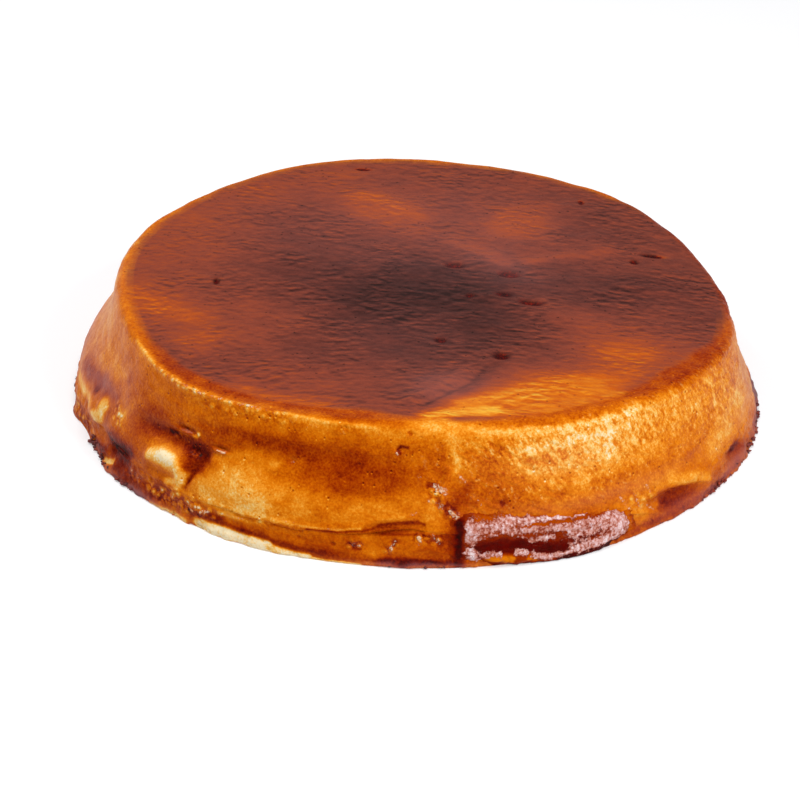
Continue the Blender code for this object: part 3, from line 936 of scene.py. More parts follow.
# Strokes of froth, small set bubbles: the same columns
SIDE_FROTH = {
    "low left": (((-135.5, 0.13), (-130, 0.145), (-125, 0.145)), 2.6, 1),
    "low left end": (((-124, 0.16), (-121, 0.17)), 1.4, 0.9),
    "over the hollow": (((-132, 0.655), (-128.4, 0.68)), 1, 1),
    "in the hollow": (((-134.5, 0.6), (-132.5, 0.61)), 1, 0.8),
    "wedge top": (((-128.6, 0.54), (-127.4, 0.53)), 0.9, 0.8),
    "rim": (((-128, 0.94), (-120, 0.95), (-112, 0.95)), 1.3, 0.45),
    "rim line": (RIM_LINE[1:7], 0.8, 0.7),
    "edge": (((-88.4, 0.6), (-87, 0.48), (-84.6, 0.4)), 1.5, 0.8),
    "low bits": (((-100, 0.15), (-98.4, 0.145)), 1.2, 0.9),
    "low bits middle": (((-94, 0.13), (-93, 0.18)), 1.2, 0.9),
    "low bits right": (((-89.8, 0.23), (-86.6, 0.21)), 1.4, 0.9),
    "left low": (((-142, 0.15), (-137, 0.13)), 1.4, 0.6),
    "left end": (((-172, 0.06), (-160, 0.08)), 2.4, 0.8),
    "foot of the amber": (((-118, 0.215), (-108, 0.225)), 0.9, 0.5),
    "left knee": (((-150, 0.47), (-147, 0.44)), 1.8, 0.8),
    "ribs": (((-54, 0.3), (-50.5, 0.24)), 2.4, 0.5),
}
# Patches of fine sparkle on the side, bumps with highlights and shade painted on them: the same columns as
# for depth
SIDE_GLITTER = {
    "right": (-60, 0.8, 24, 0.22, 1, 1, 6),
    "right middle": (-62, 0.53, 19, 0.13, 0.55, 1, 5),
    "far right": (-24, 0.72, 16, 0.3, 0.8),
    "amber specks": (-119, 0.5, 6, 0.12, 0.2, 1, 5),
    "front upper": (-106, 0.95, 12, 0.04, 0.35, 1, 5),
    "back": (90, 0.8, 90, 0.2, 0.5, 1, 5),
}

# Patches of the top, in millimetres: x, y, reach along, reach across, how dark it baked; then, where
# unusual, strength, edge and turn
TOP_DEPTH = {
    "left": (-98, 20, 36, 70, 0.56, 0.95, 2.5),
    "left back": (-60, 70, 16, 14, 0.52, 0.8, 3, 40),
    "middle left": (-42, 14, 24, 34, 0.76, 0.9, 3),
    "right": (68, 6, 30, 17, 0.8, 0.95, 3, 6),
    "right back": (68, 62, 16, 14, 0.74, 0.8, 3),
    "right back pit": (53, 50, 4, 7, 0.76, 0.8, 4, -20),
    "scorch": (2, -12, 34, 26, 0.92),
    "scorch heart": (6, -10, 20, 18, 0.97, 0.9, 3, -30),
    "scorch right": (20, -32, 18, 14, 0.9, 0.95, 3, -20),
    "scorch foot": (0, -46, 20, 20, 0.86, 0.9, 3),
    "scorch tail": (-5, -78, 12, 16, 0.74, 0.8, 3),
    "scorch left": (-36, -42, 18, 14, 0.77, 0.8, 3),
    "front left": (-36, -78, 20, 10, 0.62, 0.9, 3, -16),
    "back left edge": (-32, 92, 12, 8, 0.5, 0.8, 3, 10),
    "crescent": (-13, 62, 16, 12, 0.48, 1, 5, -28),
    "right patch": (36, 56, 11, 15, 0.49, 1, 5, -22),
    "right orange": (69, -44, 13, 14, 0.31, 1, 3, -10),
    "front orange": (46, -78, 27, 14.2, 0.2, 1, 4, 22),
    "back left": (-86, 40, 18, 22, 0.53, 0.8, 3, 20),
    "right orange tail": (54, -22, 16, 8, 0.6, 0.9, 3, -40),
}
# Strokes on the top: path of (x, y) in millimetres, half width, how dark it baked; then, where
# unusual, strength and edge
TOP_STROKES = {
    "crescent": (((-25, 72), (-15, 69), (-7, 64), (-1, 58)), 3.8, 0.44),
    "crescent tail": (((-37, 83), (-28, 75)), 3, 0.55, 0.8, 3),
    "crescent foot": (((-6, 54), (-3, 48)), 4, 0.55, 0.8, 3),
    "right patch top": (((44, 72), (40, 66)), 4.5, 0.56, 0.7, 3),
    "tongue": (((13, 37), (20, 31), (28, 23)), 3.4, 0.56, 0.9),
    "pale streak": (((36, 24), (50, 31), (67, 40)), 2.8, 0.57, 0.9),
    "left orange": (((-96, -16), (-84, -26), (-76, -31)), 7, 0.4, 1, 2.6),
    "left orange low": (((-70, -46), (-76, -52)), 6, 0.44, 0.9, 3),
    "left orange right": (((-60, -38), (-53, -44)), 4, 0.56, 0.7, 2.5),
    "right rim dark": (((98, -42), (84, -60), (70, -75)), 5, 0.62, 0.8, 3),
    "front orange rim": (((66, -81), (50, -90), (32, -96)), 5.5, 0.24),
    "front yellow": (((24, -96), (12, -98), (2, -103)), 4.5, 0.04),
    "front tip": (((-2, -94), (-12, -96), (-24, -95)), 4.5, 0.66, 0.9),
    "left rim dark": (((-90, -46), (-78, -64), (-62, -78), (-44, -88)), 3.6, 0.64, 0.9, 3),
    # Painted shade in the crease and beside it (crease, crease shade)
    "crease": (((1, -92), (10, -82), (18, -71), (24, -60)), 1, 0.9, 0.6, 3),
    "crease edge": (((0, -86), (8, -76), (14, -66)), 1.4, 0.6, 0.5, 3),
    "front orange foot": (((30, -84), (16, -90)), 5, 0.16),
    "crease shade": (((14, -80), (22, -68), (27, -57)), 2.6, 0.76, 0.6, 3),
    "left front orange": (((-56, -84), (-44, -90), (-30, -93)), 4, 0.4, 0.9, 3),
    "front left dark": (((-14, -84), (-24, -72)), 5, 0.66, 0.7, 3),
    "left middle": (((-60, -24), (-48, -30)), 8, 0.58, 0.7, 3),
}

# Patches of the baked skin's cool violet sheen, a reflection painted into the colour: the same columns
TOP_PAINTED_SHEEN = {
    "back middle": (8, 50, 45, 34, 0.07, 1, 3),
    "middle": (-10, 30, 40, 20, 0.05, 1, 3, -20),
    "front middle": (-4, -42, 20, 22, 0.03, 1, 3),
    "tongue": (26, 22, 18, 10, 0.1, 1, 3, -40),
    "pale front": (8, -78, 12, 10, 0.1, 1, 3, 40),
}

# Where the baked skin starts past the rim: the usual climb, then angle, reach, how much further in
SKIN_START = 1.03
SKIN_DRAWN_IN = ((-126, 30, 0.11), (-101, 9, 0.08), (-34, 20, 0.15), (-66, 12, 0.08), (14, 32, -0.06))


# Noises of the side's paint: amount, cells round, rows up, seed, layers
BEND_ASIDE = ((0.60, 120, 12, 11), (0.14, 500, 40, 14, 2))
BEND_UP = ((0.014, 90, 10, 12), (0.004, 460, 36, 16, 2))
BLOTCHES = ((0.06, 130, 8, 17, 4), (0.02, 420, 34, 18, 2))


def side_bend(angle, climb):
    """Angle and climb, both bent by layered noise so that no patch keeps a plain outline."""
    return angle + noise_mix(angle, climb, BEND_ASIDE), climb + noise_mix(angle, climb, BEND_UP)


def side_paint(angle, climb):
    """The side's attributes, the same for custard and biscuit so that they meet."""
    bent = side_bend(angle, climb)
    ground = 0.50 + 0.05 * side_noise(angle, climb, 30, 3, 13)
    place = unrolled(0.5 * (angle + bent[0]), 0.5 * (climb + bent[1]))
    depth = strokes(side_field(*bent, ground, SIDE_DEPTH), place, SIDE_STROKES, side_path)
    glint = strokes(0, place, SIDE_PAINTED_GLINTS, side_path)
    glitter = side_field(*bent, 0, SIDE_GLITTER)
    # Painted light among these: a sheen of reflection and glints, both painted into the colour
    return {
        "depth": np.clip(depth + noise_mix(angle, climb, BLOTCHES), 0, 1),
        "veil": side_field(*bent, 0, SIDE_PAINTED_SHEEN),
        "glint": glint,
        "glitter": glitter * step(glitter / 0.4),
        "gloss": np.clip(0.25 * glint, 0, 1),
        "froth": strokes(0, place, SIDE_FROTH, side_path),
    }


def top_path(path):
    return np.array(path) * MM


def top_bend(flat):
    """Place on the top, bent by layered noise."""
    aside, away = top_noise(flat, 0.022, 0.012, 21), top_noise(flat, 0.022, 0.012, 31)
    return flat + np.stack([0.0022 * aside, 0.0016 * away], axis=-1)


def top_crust(flat):
    """How darkly the top baked; the pits are made darkest later, in custard_paint."""
    ground = 0.66 + 0.03 * top_noise(flat, 0.050, 0.020, 41)
    grain = 0.025 * top_noise(flat, 0.010, 0.005, 43)
    bent = top_bend(flat)
    crust = top_field(bent, ground, TOP_DEPTH)
    return strokes(crust, bent, TOP_STROKES, top_path) + grain


# Relief of the top along paths of (x, y) in millimetres: half width in millimetres, swell
TOP_LINES = {
    "crease": (((1, -92), (10, -82), (18, -71), (24, -60)), 1.8, -0.0005),
    "crease edge": (((-2, -88), (7, -77), (14, -66)), 2.4, 0.0005),
    "ridge": (((20, -6), (34, -13), (50, -20)), 4, 0.0005),
    "ridge right": (((56, 4), (72, 10), (92, 8)), 3, 0.0004),
    "pale streak": (((36, 24), (50, 31), (67, 40)), 2.5, 0.0004),
    "left front dip": (((-72, -66), (-52, -80), (-30, -90)), 6, -0.0005),
    "blister": (((-26, 70), (-10, 63), (-3, 56)), 6, 0.0005),
    "right patch": (((37, 66), (34, 50)), 7, 0.0004),
}
# Pits left by bubbles, in millimetres: x, y, half length, half width, depth
TOP_PITS = (
    (12, 18, 3.2, 2.2, 1.6), (31, 14, 3.6, 2.4, 1.8), (29, -4, 2.8, 2, 1), (38, -9, 4, 2, 1.4),
    (27, -53, 2.6, 2.4, 1.4), (7, -43, 1.8, 1.8, 1), (76, 32, 1.4, 1.6, 1), (83, 38, 4, 1.2, 0.8),
    (-70, -4, 1, 2.2, 0.8), (17, -7, 1.4, 1.2, 0.6), (59, 78, 1, 2, 0.6), (-22, 96, 3, 1, 0.6),
)


def pit_distances(flat):
    """For each pit, the distance from its middle as a share of its ellipse, and its depth in metres."""
    x, y = flat[..., 0] / MM, flat[..., 1] / MM
    return [(np.hypot((x - middle) / along, (y - away) / wide), deep * MM)
            for middle, away, along, wide, deep in TOP_PITS]


def pit_field(flat):
    """0 on the plain surface, 1 in the middle of a pit."""
    return np.clip(1.5 * sum(bell(distance ** 1.5) for distance, _ in pit_distances(flat)), 0, 1)


def top_height(flat):
    """Soft lines, pits, and streaks along X, deepest at the right."""
    lines = ridges(flat, TOP_LINES, top_path)
    pits = sum(deep * bell(distance) for distance, deep in pit_distances(flat))
    right = 0.5 + 0.5 * step((flat[..., 0] + 0.02) / 0.08)
    streaks = 0.00018 * right * top_noise(flat, 0.009, 0.0032, 51, 2)
    waves = 0.00022 * top_noise(flat, 0.026, 0.012, 61, 2)
    return lines - pits + streaks + waves


# ---- Custard and skin --------------------------------------------------------------------------
CUSTARD_COLUMNS = 800
CUSTARD_SIDE_RINGS = 88
RIM_RINGS = 13
TOP_RINGS = 15
# How far out the rings of the seam face lie, and how much it rises towards its middle
SEAM_RINGS = (0.35, 0.70, 0.96)
SEAM_CROWN = 0.0008

# Lip of the custard over the biscuit: angle, reach, how far it stands out
LIP_OUT = ((-113, 13, 0.00012), (-95, 4.5, 0.00025), (150, 20, 0.0004), (75, 18, 0.0005))
# Its usual stand, how far it hangs below the seam, its wander up and down, and how high it reaches
LIP_STAND, LIP_DROP, LIP_WANDER, LIP_REACH = 0.00012, 0.0013, 0.0005, 0.0012
# How far the body's own top lies under the skin, and from how far out to how far in it sinks to that
SKIN_BED, SKIN_BED_START, SKIN_BED_END = 0.0010, 0.93, 0.89
# How the top's rings crowd towards the rim
TOP_CROWDING = 1.6


def lip_edge(angle):
    """Height of the custard's lower edge: below the seam, rising and falling a little."""
    return seam_height(angle) - LIP_DROP + LIP_WANDER * side_noise(angle, 0 * angle, 48, 1, 74)


def lip_swell(angle):
    """How far the custard's lower edge stands out over the biscuit."""
    return LIP_STAND + bells(angle, LIP_OUT) * (1 + 0.4 * side_noise(angle, 0 * angle, 60, 1, 75, 2))


def plain_top(flat):
    """Height of the top before its relief: a leaning plane, the rim's lobes easing towards its middle."""
    aside, away = flat[..., 0] - TOP_SHIFT[0], flat[..., 1] - TOP_SHIFT[1]
    angle = np.degrees(np.arctan2(away, aside))
    out = np.hypot(aside, away) / (top_radius(angle) - corner_cut(angle))
    return HEIGHT + flat @ TOP_LEAN + lobes(angle, RIM_HEIGHT_LOBES) * out ** 2


def custard_rings():
    """Rings from the seam's middle out to its lip, up the side, round the rim and in over the top.

    Gives the points, and for each its climb and the share of the relief that it takes."""
    angle = columns(CUSTARD_COLUMNS)
    rim, slope, cut, low = rim_height(angle), side_slope(angle), corner_cut(angle), lip_edge(angle)
    high = rim - cut * np.cos(slope)
    points, climbs, shares = [], [], []

    def keep(point, climb, share):
        points.append(point)
        climbs.append(climb + 0 * angle)
        shares.append(share + 0 * angle)

    def lipped(height):
        swell = lip_swell(angle) * bell(np.maximum(height - low - SEAM_ROUNDING, 0) / LIP_REACH)
        return side_radius(angle, height / rim) + swell

    lip = lipped(low) - SEAM_ROUNDING
    for out in SEAM_RINGS:
        keep(ring(angle, lip * out, low + SEAM_CROWN * (1 - out), low / rim), low / rim, 0)
    for turn in np.linspace(0, 1, BEND_RINGS + 1)[:-1]:
        bend = turn * np.pi / 2
        height = low + SEAM_ROUNDING * (1 - np.cos(bend))
        radius = lipped(height) - SEAM_ROUNDING * (1 - np.sin(bend))
        keep(ring(angle, radius, height, height / rim), height / rim, 0)
    for part in np.linspace(0, 1, CUSTARD_SIDE_RINGS):
        height = low + SEAM_ROUNDING + (high - low - SEAM_ROUNDING) * part
        keep(ring(angle, lipped(height), height, height / rim), height / rim, 1)
    straight = foot_radius(angle) * (1 - high / rim) + top_radius(angle) * high / rim
    side_top = side_radius(angle, high / rim) - straight
    past = 1 + cut / HEIGHT
    for turn in np.linspace(0, 1, RIM_RINGS + 1)[1:]:
        tilt = slope + (np.pi / 2 - slope) * turn
        radius = top_radius(angle) - cut + rounding(angle) * np.cos(tilt) + side_top * (1 - turn)
        height = rim - rounding(angle) + rounding(angle) * np.sin(tilt)
        keep(ring(angle, radius, height, 1), high / rim * (1 - turn) + past * turn, 1)
    for out in 1 - np.linspace(0, 1, TOP_RINGS + 1)[1:-1] ** TOP_CROWDING:
        flat = TOP_SHIFT + outward(angle) * ((top_radius(angle) - cut) * out)[:, None]
        sunk = step((SKIN_BED_START - out) / (SKIN_BED_START - SKIN_BED_END))
        height = plain_top(flat) - SKIN_BED * sunk
        keep(np.column_stack([flat, height]), past + (1 - out) * (top_radius(angle) - cut) / HEIGHT, 1)
    climbs = np.array(climbs)
    return np.array(points), climbs, np.array(shares), np.broadcast_to(angle, climbs.shape)


# Small marks on the side: the same columns as for swells and hollows
SIDE_MARKS = {
    "upper left pit": (-131, 0.68, 1.6, 0.02, -0.001),
    "lip under it": (-131.3, 0.65, 1.8, 0.014, 0.0007),
    "fold pit": (-128, 0.55, 1, 0.018, -0.0009),
    "fold pit lip": (-128, 0.525, 1, 0.012, 0.0006),
    "long pit": (-123.4, 0.64, 1.4, 0.012, -0.0009),
    "lip under the long pit": (-123.3, 0.615, 1.5, 0.01, 0.0006),
    "nick": (-110.9, 0.67, 0.6, 0.02, -0.0007),
    "front nick": (-93.5, 0.83, 0.9, 0.022, -0.0007),
    "front nick lip": (-93.9, 0.8, 0.7, 0.01, 0.0005),
    "upper nick": (-91.9, 0.95, 0.6, 0.02, -0.0006),
    "rim nick": (-103, 0.96, 0.6, 0.016, -0.0006),
    "front pore": (-76.8, 0.46, 0.5, 0.02, -0.0008),
    "flap edge groove": (-84.2, 0.18, 0.9, 0.16, -0.0009),
    "pale strip": (-122, 0.03, 9, 0.03, 0.0005),
    "right dark": (-46, 0.2, 3, 0.04, -0.0007, -30),
}
# Ridges and grooves of the side along paths of (angle, climb): half width in millimetres, swell
SIDE_LINES = {
    "crest": (((-137, 0.385), (-134, 0.428), (-131.2, 0.42), (-129.8, 0.38), (-129.4, 0.29)), 2, 0.0013),
    "behind the crest": (((-136, 0.31), (-131.6, 0.3)), 1.8, -0.0008),
    "wedge": (((-125.8, 0.54), (-127.4, 0.44), (-129, 0.27)), 1.7, -0.0015),
    "over the crest": (((-141, 0.54), (-134, 0.57), (-127, 0.56)), 2.8, -0.0007),
    "recess": (((-96.4, 0.27), (-93.5, 0.3), (-89.5, 0.305)), 1.9, -0.0009),
    "recess lip": (((-98.6, 0.29), (-95, 0.35), (-90.5, 0.368)), 0.9, 0.0004),
    "lip": (((-112, 0.25), (-104, 0.252), (-99, 0.28)), 1, 0.0004),
    "left swell": (((-155.4, 0.38), (-155.2, 0.29), (-160, 0.26)), 2.8, 0.001),
    "left dark": (((-148.5, 0.18), (-143, 0.27)), 3, -0.001),
    "left notch": (((-151.5, 0.03), (-147.5, 0.085)), 1.4, -0.0012),
    "right ridge": (((-44.5, 0.28), (-38, 0.195), (-35, 0.15)), 1.6, 0.0008),
    "edge": (((-85.6, 0.68), (-86.6, 0.54), (-86, 0.44), (-84, 0.38)), 1.1, 0.0006),
    "rim line": (RIM_LINE, 0.8, 0.00035),
}
# Noises of the side's fine relief: amount, cells round, rows up, seed, layers, slant
SOFT_WAVES = ((0.00026, 48, 4, 71), (0.00010, 70, 22, 72, 2))
DIMPLES = ((0.00020, 420, 22, 73, 2, 40),)
# Ribs right of the flap and beads along the rim: angle, reach, swell; then the climb and reach up
RIBS, RIBS_CLIMB, RIBS_REACH = ((-53, 4, 0.0006),), 0.16, 0.12
RIM_BEADS, BEADS_CLIMB, BEADS_REACH = ((-128, 26, 0.00030),), 1.0, 0.028
# Climb past the rim over which the relief of the top takes over from the side's
ONTO_TOP_REACH = 0.12
# Skin: climb over which it sets in.  Hidden bed: where it starts, its reach and its caramel depth.
SKIN_SETS_IN = 0.10
BED_START, BED_REACH, BED_DEPTH = 1.3, 0.1, 0.97


def rim_beads(angle, climb):
    return bells(angle, RIM_BEADS) * bell((climb - BEADS_CLIMB) / BEADS_REACH)


def fine_side(angle, climb):
    """Small relief of the side: marks, lines, soft waves, dimples at the right, ribs and a beaded rim."""
    right = step((angle + 92) / 14) * step((40 - angle) / 60) + 0.3 * step((abs(angle) - 60) / 60)
    ribs = bells(angle, RIBS) * bell((climb - RIBS_CLIMB) / RIBS_REACH)
    ribs = ribs * side_noise(angle, climb, 300, 8, 76, 2, 60)
    beads = rim_beads(angle, climb) * (0.7 + 0.5 * side_noise(angle, climb, 260, 3, 77, 2))
    marks = swells(angle, climb, SIDE_MARKS)
    lines = ridges(unrolled(angle, climb), SIDE_LINES, side_path)
    noises = noise_mix(angle, climb, SOFT_WAVES) + right * noise_mix(angle, climb, DIMPLES)
    return marks + lines + noises + ribs + beads


def top_relief(angle, climb, flat):
    """How far a place is onto the top, and its relief there: the rim's beads, easing into the top's."""
    onto_top = step((climb - 1) / ONTO_TOP_REACH)
    return onto_top, onto_top * (top_height(flat) + rim_beads(angle, climb) * 0.7)


def custard_paint(angle, climb, flat, onto_top):
    """The side's attributes, and those of the baked skin past the rim."""
    _, bent_climb = side_bend(angle, climb)
    start = SKIN_START + bells(angle, SKIN_DRAWN_IN)
    pits = pit_field(flat) * onto_top
    well_in = np.maximum(step((climb - BED_START) / BED_REACH), pits)
    # The top's sheen: a reflection of the pale surroundings painted into the colour
    sheen = top_field(top_bend(flat), 0, TOP_PAINTED_SHEEN)
    paint = side_paint(angle, climb)
    paint["crust"] = top_crust(flat)
    paint["depth"] = paint["depth"] * (1 - well_in) + BED_DEPTH * well_in
    paint["skin"] = step((bent_climb - start) / SKIN_SETS_IN) * (1 - pits)
    paint["veil"] = paint["veil"] * (1 - onto_top) + sheen * onto_top
    for name, share in (("glitter", 1), ("froth", 1), ("gloss", 0.8)):
        paint[name] = paint[name] * (1 - share * onto_top)
    return paint


def add_custard(finish):
    """The custard's side, rim and seam face, and the bed under its skin."""
    grid, climb, share, angle = custard_rings()
    flat = grid[..., :2]
    onto_top, past_rim = top_relief(angle, climb, flat)
    relief = ((1 - onto_top) * fine_side(angle, climb) + past_rim) * share
    grid = grid + normals(grid) * relief[..., None]
    paint = custard_paint(angle, climb, flat, onto_top)
    return add_lofted("custard_body", grid + OFFSET, paint, finish, ["custard"])


SKIN_LINES = 310
SKIN_EDGE_CLIMB = 1.075
# How far the skin lies over the body, how far it dips in at its margin, and where the margin starts
SKIN_RISE, SKIN_DIP, SKIN_MARGIN = 0.00005, 0.0005, 0.96
# Depth of the point below the top to which the skin closes
SKIN_POINT = 0.006


def add_skin(finish):
    """The baked skin, laid over the body and dipping into it at its margin.

    It is a square grid bent into the outline of the top, each x by the root of 1 - half of y squared
    and the other way round; below, it closes to a point inside the custard."""
    even = np.linspace(-1, 1, SKIN_LINES)
    u, v = np.meshgrid(even, even)
    aside, away = u * np.sqrt(1 - v ** 2 / 2), v * np.sqrt(1 - u ** 2 / 2)
    out = np.hypot(aside, away)
    angle = np.degrees(np.arctan2(away, aside))
    reach = top_radius(angle) - (SKIN_EDGE_CLIMB - 1) * HEIGHT
    flat = TOP_SHIFT + outward(angle) * (reach * out)[..., None]
    climb = 1 + (top_radius(angle) - reach * out) / HEIGHT
    onto_top, relief = top_relief(angle, climb, flat)
    lift = SKIN_RISE - (SKIN_RISE + SKIN_DIP) * step((out - SKIN_MARGIN) / (1 - SKIN_MARGIN)) ** 2
    height = plain_top(flat) + relief + lift
    points = np.concatenate([flat, height[..., None]], axis=-1).reshape(-1, 3)
    edge = grid_edge(SKIN_LINES, SKIN_LINES)
    fan = np.column_stack([np.full(len(edge), len(points)), np.roll(edge, -1), edge])
    faces = grid_quads(SKIN_LINES, SKIN_LINES).tolist() + fan.tolist()
    points = np.concatenate([points, [(*TOP_SHIFT, HEIGHT - SKIN_POINT)]])
    paint = custard_paint(angle, climb, flat, onto_top)
    spread = {name: np.append(values.ravel(), 0.5) for name, values in paint.items()}
    return add_piece("baked_skin", points + OFFSET, faces, spread, finish)


# ---- Biscuit layer -----------------------------------------------------------------------------
BISCUIT_COLUMNS = 1300
BISCUIT_SIDE_RINGS = 34
# How far out the rings of the underside and of the upper face lie, and the bevel at the foot
UNDERSIDE_RINGS, SHOULDER_RINGS = (0.5, 0.9, 0.985), (0.96, 0.7, 0.35)
FOOT_BEVEL, FOOT_BEVEL_HEIGHT = 0.0004, 0.0003
# Crumb: amount, cells round, rows up, seed, layers.  Tears of the foot: depth, and where they end.
CRUMB = ((0.00030, 260, 20, 91), (0.0004, 80, 6, 92, 2))
TEAR_DEPTH, TEAR_CLIMB = 0.0010, 0.10


def biscuit_rings():
    """Rings from the underside's middle out to the foot, up the side, round the shoulder and in again.

    Gives the points, and for each its climb and the share of the relief that it takes."""
    angle = columns(BISCUIT_COLUMNS)
    rim = rim_height(angle)
    high = seam_height(angle) - GAP / 2
    points, climbs, shares = [], [], []

    def keep(radius, height, share):
        points.append(ring(angle, radius, height, height / rim))
        climbs.append(height / rim + 0 * angle)
        shares.append(share + 0 * angle)

    foot = side_radius(angle, 0)
    for out in UNDERSIDE_RINGS:
        keep(foot * out, 0, 0)
    keep(foot - FOOT_BEVEL, 0, 0)
    for part in np.linspace(0, 1, BISCUIT_SIDE_RINGS):
        height = FOOT_BEVEL_HEIGHT + (high - SEAM_ROUNDING - FOOT_BEVEL_HEIGHT) * part
        keep(side_radius(angle, height / rim), height, 1)
    for turn in np.linspace(0, 1, BEND_RINGS + 1)[1:]:
        bend = turn * np.pi / 2
        height = high - SEAM_ROUNDING * (1 - np.sin(bend))
        keep(side_radius(angle, height / rim) - SEAM_ROUNDING * (1 - np.cos(bend)), height, 1 - turn)
    shoulder = side_radius(angle, high / rim) - SEAM_ROUNDING
    for out in SHOULDER_RINGS:
        keep(shoulder * out, seam_height(angle, out) - GAP / 2, 0)
    climbs = np.array(climbs)
    return np.array(points), climbs, np.array(shares), np.broadcast_to(angle, climbs.shape), high / rim


def add_biscuit():
    """The layer under the seam: ragged foot, crumbly side, rounded shoulder and a flat underside."""
    grid, climb, share, angle, seam_climb = biscuit_rings()
    under_seam = step((seam_climb - climb) / 0.05)
    tears = np.minimum(side_noise(angle, 0 * climb, 110, 1, 93), 0.4) * TEAR_DEPTH
    ragged = noise_mix(angle, climb, CRUMB) * under_seam + tears * step((TEAR_CLIMB - climb) / 0.08)
    smoother_front = 1 - 0.7 * bell(turned(angle, FRONT) / 42)
    relief = ragged * smoother_front + fine_side(angle, climb)
    grid = grid + normals(grid) * (share * relief)[..., None]
    grid[..., 2] = np.maximum(grid[..., 2], 0)
    finish = biscuit_finish()
    paint = side_paint(angle, climb)
    return add_lofted("biscuit_layer", grid + OFFSET, paint, finish, ["biscuit_base"])


# ---- Caramel flap --------------------------------------------------------------------------------
FLAP_LEFT, FLAP_RIGHT = -86.0, -53.0
FLAP_CLIMB = 0.42
FLAP_COLUMNS, FLAP_ROWS = 330, 100
# How much the patches rise for each degree past an angle
FLAP_TILT, FLAP_TILT_FROM = 0.0042, -70
# Thickness where there is no flap, the back's depth under the side, and the lowest height of the sheet
FLAP_SUNK = -0.0008
FLAP_BACK = 0.0018
FLAP_LOWEST = 0.0002
# Noises: amount, cells round, rows up, seed
FLAP_BEND_ASIDE, FLAP_BEND_UP = ((0.30, 400, 34, 103),), ((0.010, 400, 34, 104),)
FLAP_WRINKLES, FLAP_MOTTLE = ((0.00018, 240, 20, 102),), ((0.05, 120, 10, 105),)
# Thickness over the side, in patches whose climb is the one before the tilt, then strokes of depth and of
# the painted reflection
FLAP_THICK = {
    "body": (-69.6, 0.15, 13.4, 0.172, 0.0013, 1, 10),
    "left ledge": (-79.6, 0.25, 3.8, 0.075, 0.0024),
    "upper ledge": (-67, 0.262, 9.5, 0.03, 0.002),
    "hollow": (-74.5, 0.145, 7.5, 0.034, 0.0011),
    "lower roll": (-74, 0.045, 8, 0.035, 0.0018, 0.9, 3),
    "right roll": (-63, 0.1, 4, 0.04, 0.0018, 0.9, 3, 40),
    "slot": (-63, 0.15, 5, 0.014, 0.0011, 0.9, 4, 60),
    "end lobe": (-58.6, 0.185, 3.2, 0.08, 0.0023, 1, 5),
    "end foot": (-55, 0.02, 4, 0.06, -0.001),
}
# The shadow, hollow, right slot and foot strokes here are painted shade
FLAP_DEPTH = {
    "shadow": (((-83.6, 0.34), (-83.4, 0.03)), 1.3, 0.98),
    "hollow": (((-81, 0.15), (-76, 0.162), (-71.5, 0.122), (-69, 0.1), (-64, 0.104)), 2, 0.95, 1, 5),
    "top fringe": (((-81, 0.372), (-74, 0.35), (-66, 0.325), (-57, 0.3)), 1, 0.6, 0.9, 3),
    "top right": (((-73.5, 0.285), (-66, 0.27)), 1, 0.62, 0.7, 3),
    "right half": (((-65, 0.215), (-59, 0.19)), 2.4, 0.66, 0.8, 3),
    "yellow foot": (((-79.2, 0.066), (-75.6, 0.062)), 1, 0.38, 1, 5),
    "yellow foot right": (((-73, 0.052), (-72, 0.048)), 0.7, 0.44),
    "lobe end": (((-55.6, 0.24), (-55, 0.08)), 1.8, 0.52, 1, 3),
    "foot": (((-82, 0), (-70, 0), (-58, 0)), 0.6, 0.97),
    "foot shade": (((-82, 0.085), (-79, 0.115), (-75.5, 0.12)), 0.8, 0.92),
    "right slot": (((-66.5, 0.145), (-62, 0.15), (-60.6, 0.16)), 0.9, 0.88),
    "foot right": (((-68, 0.016), (-58, 0.036)), 0.9, 0.97),
}
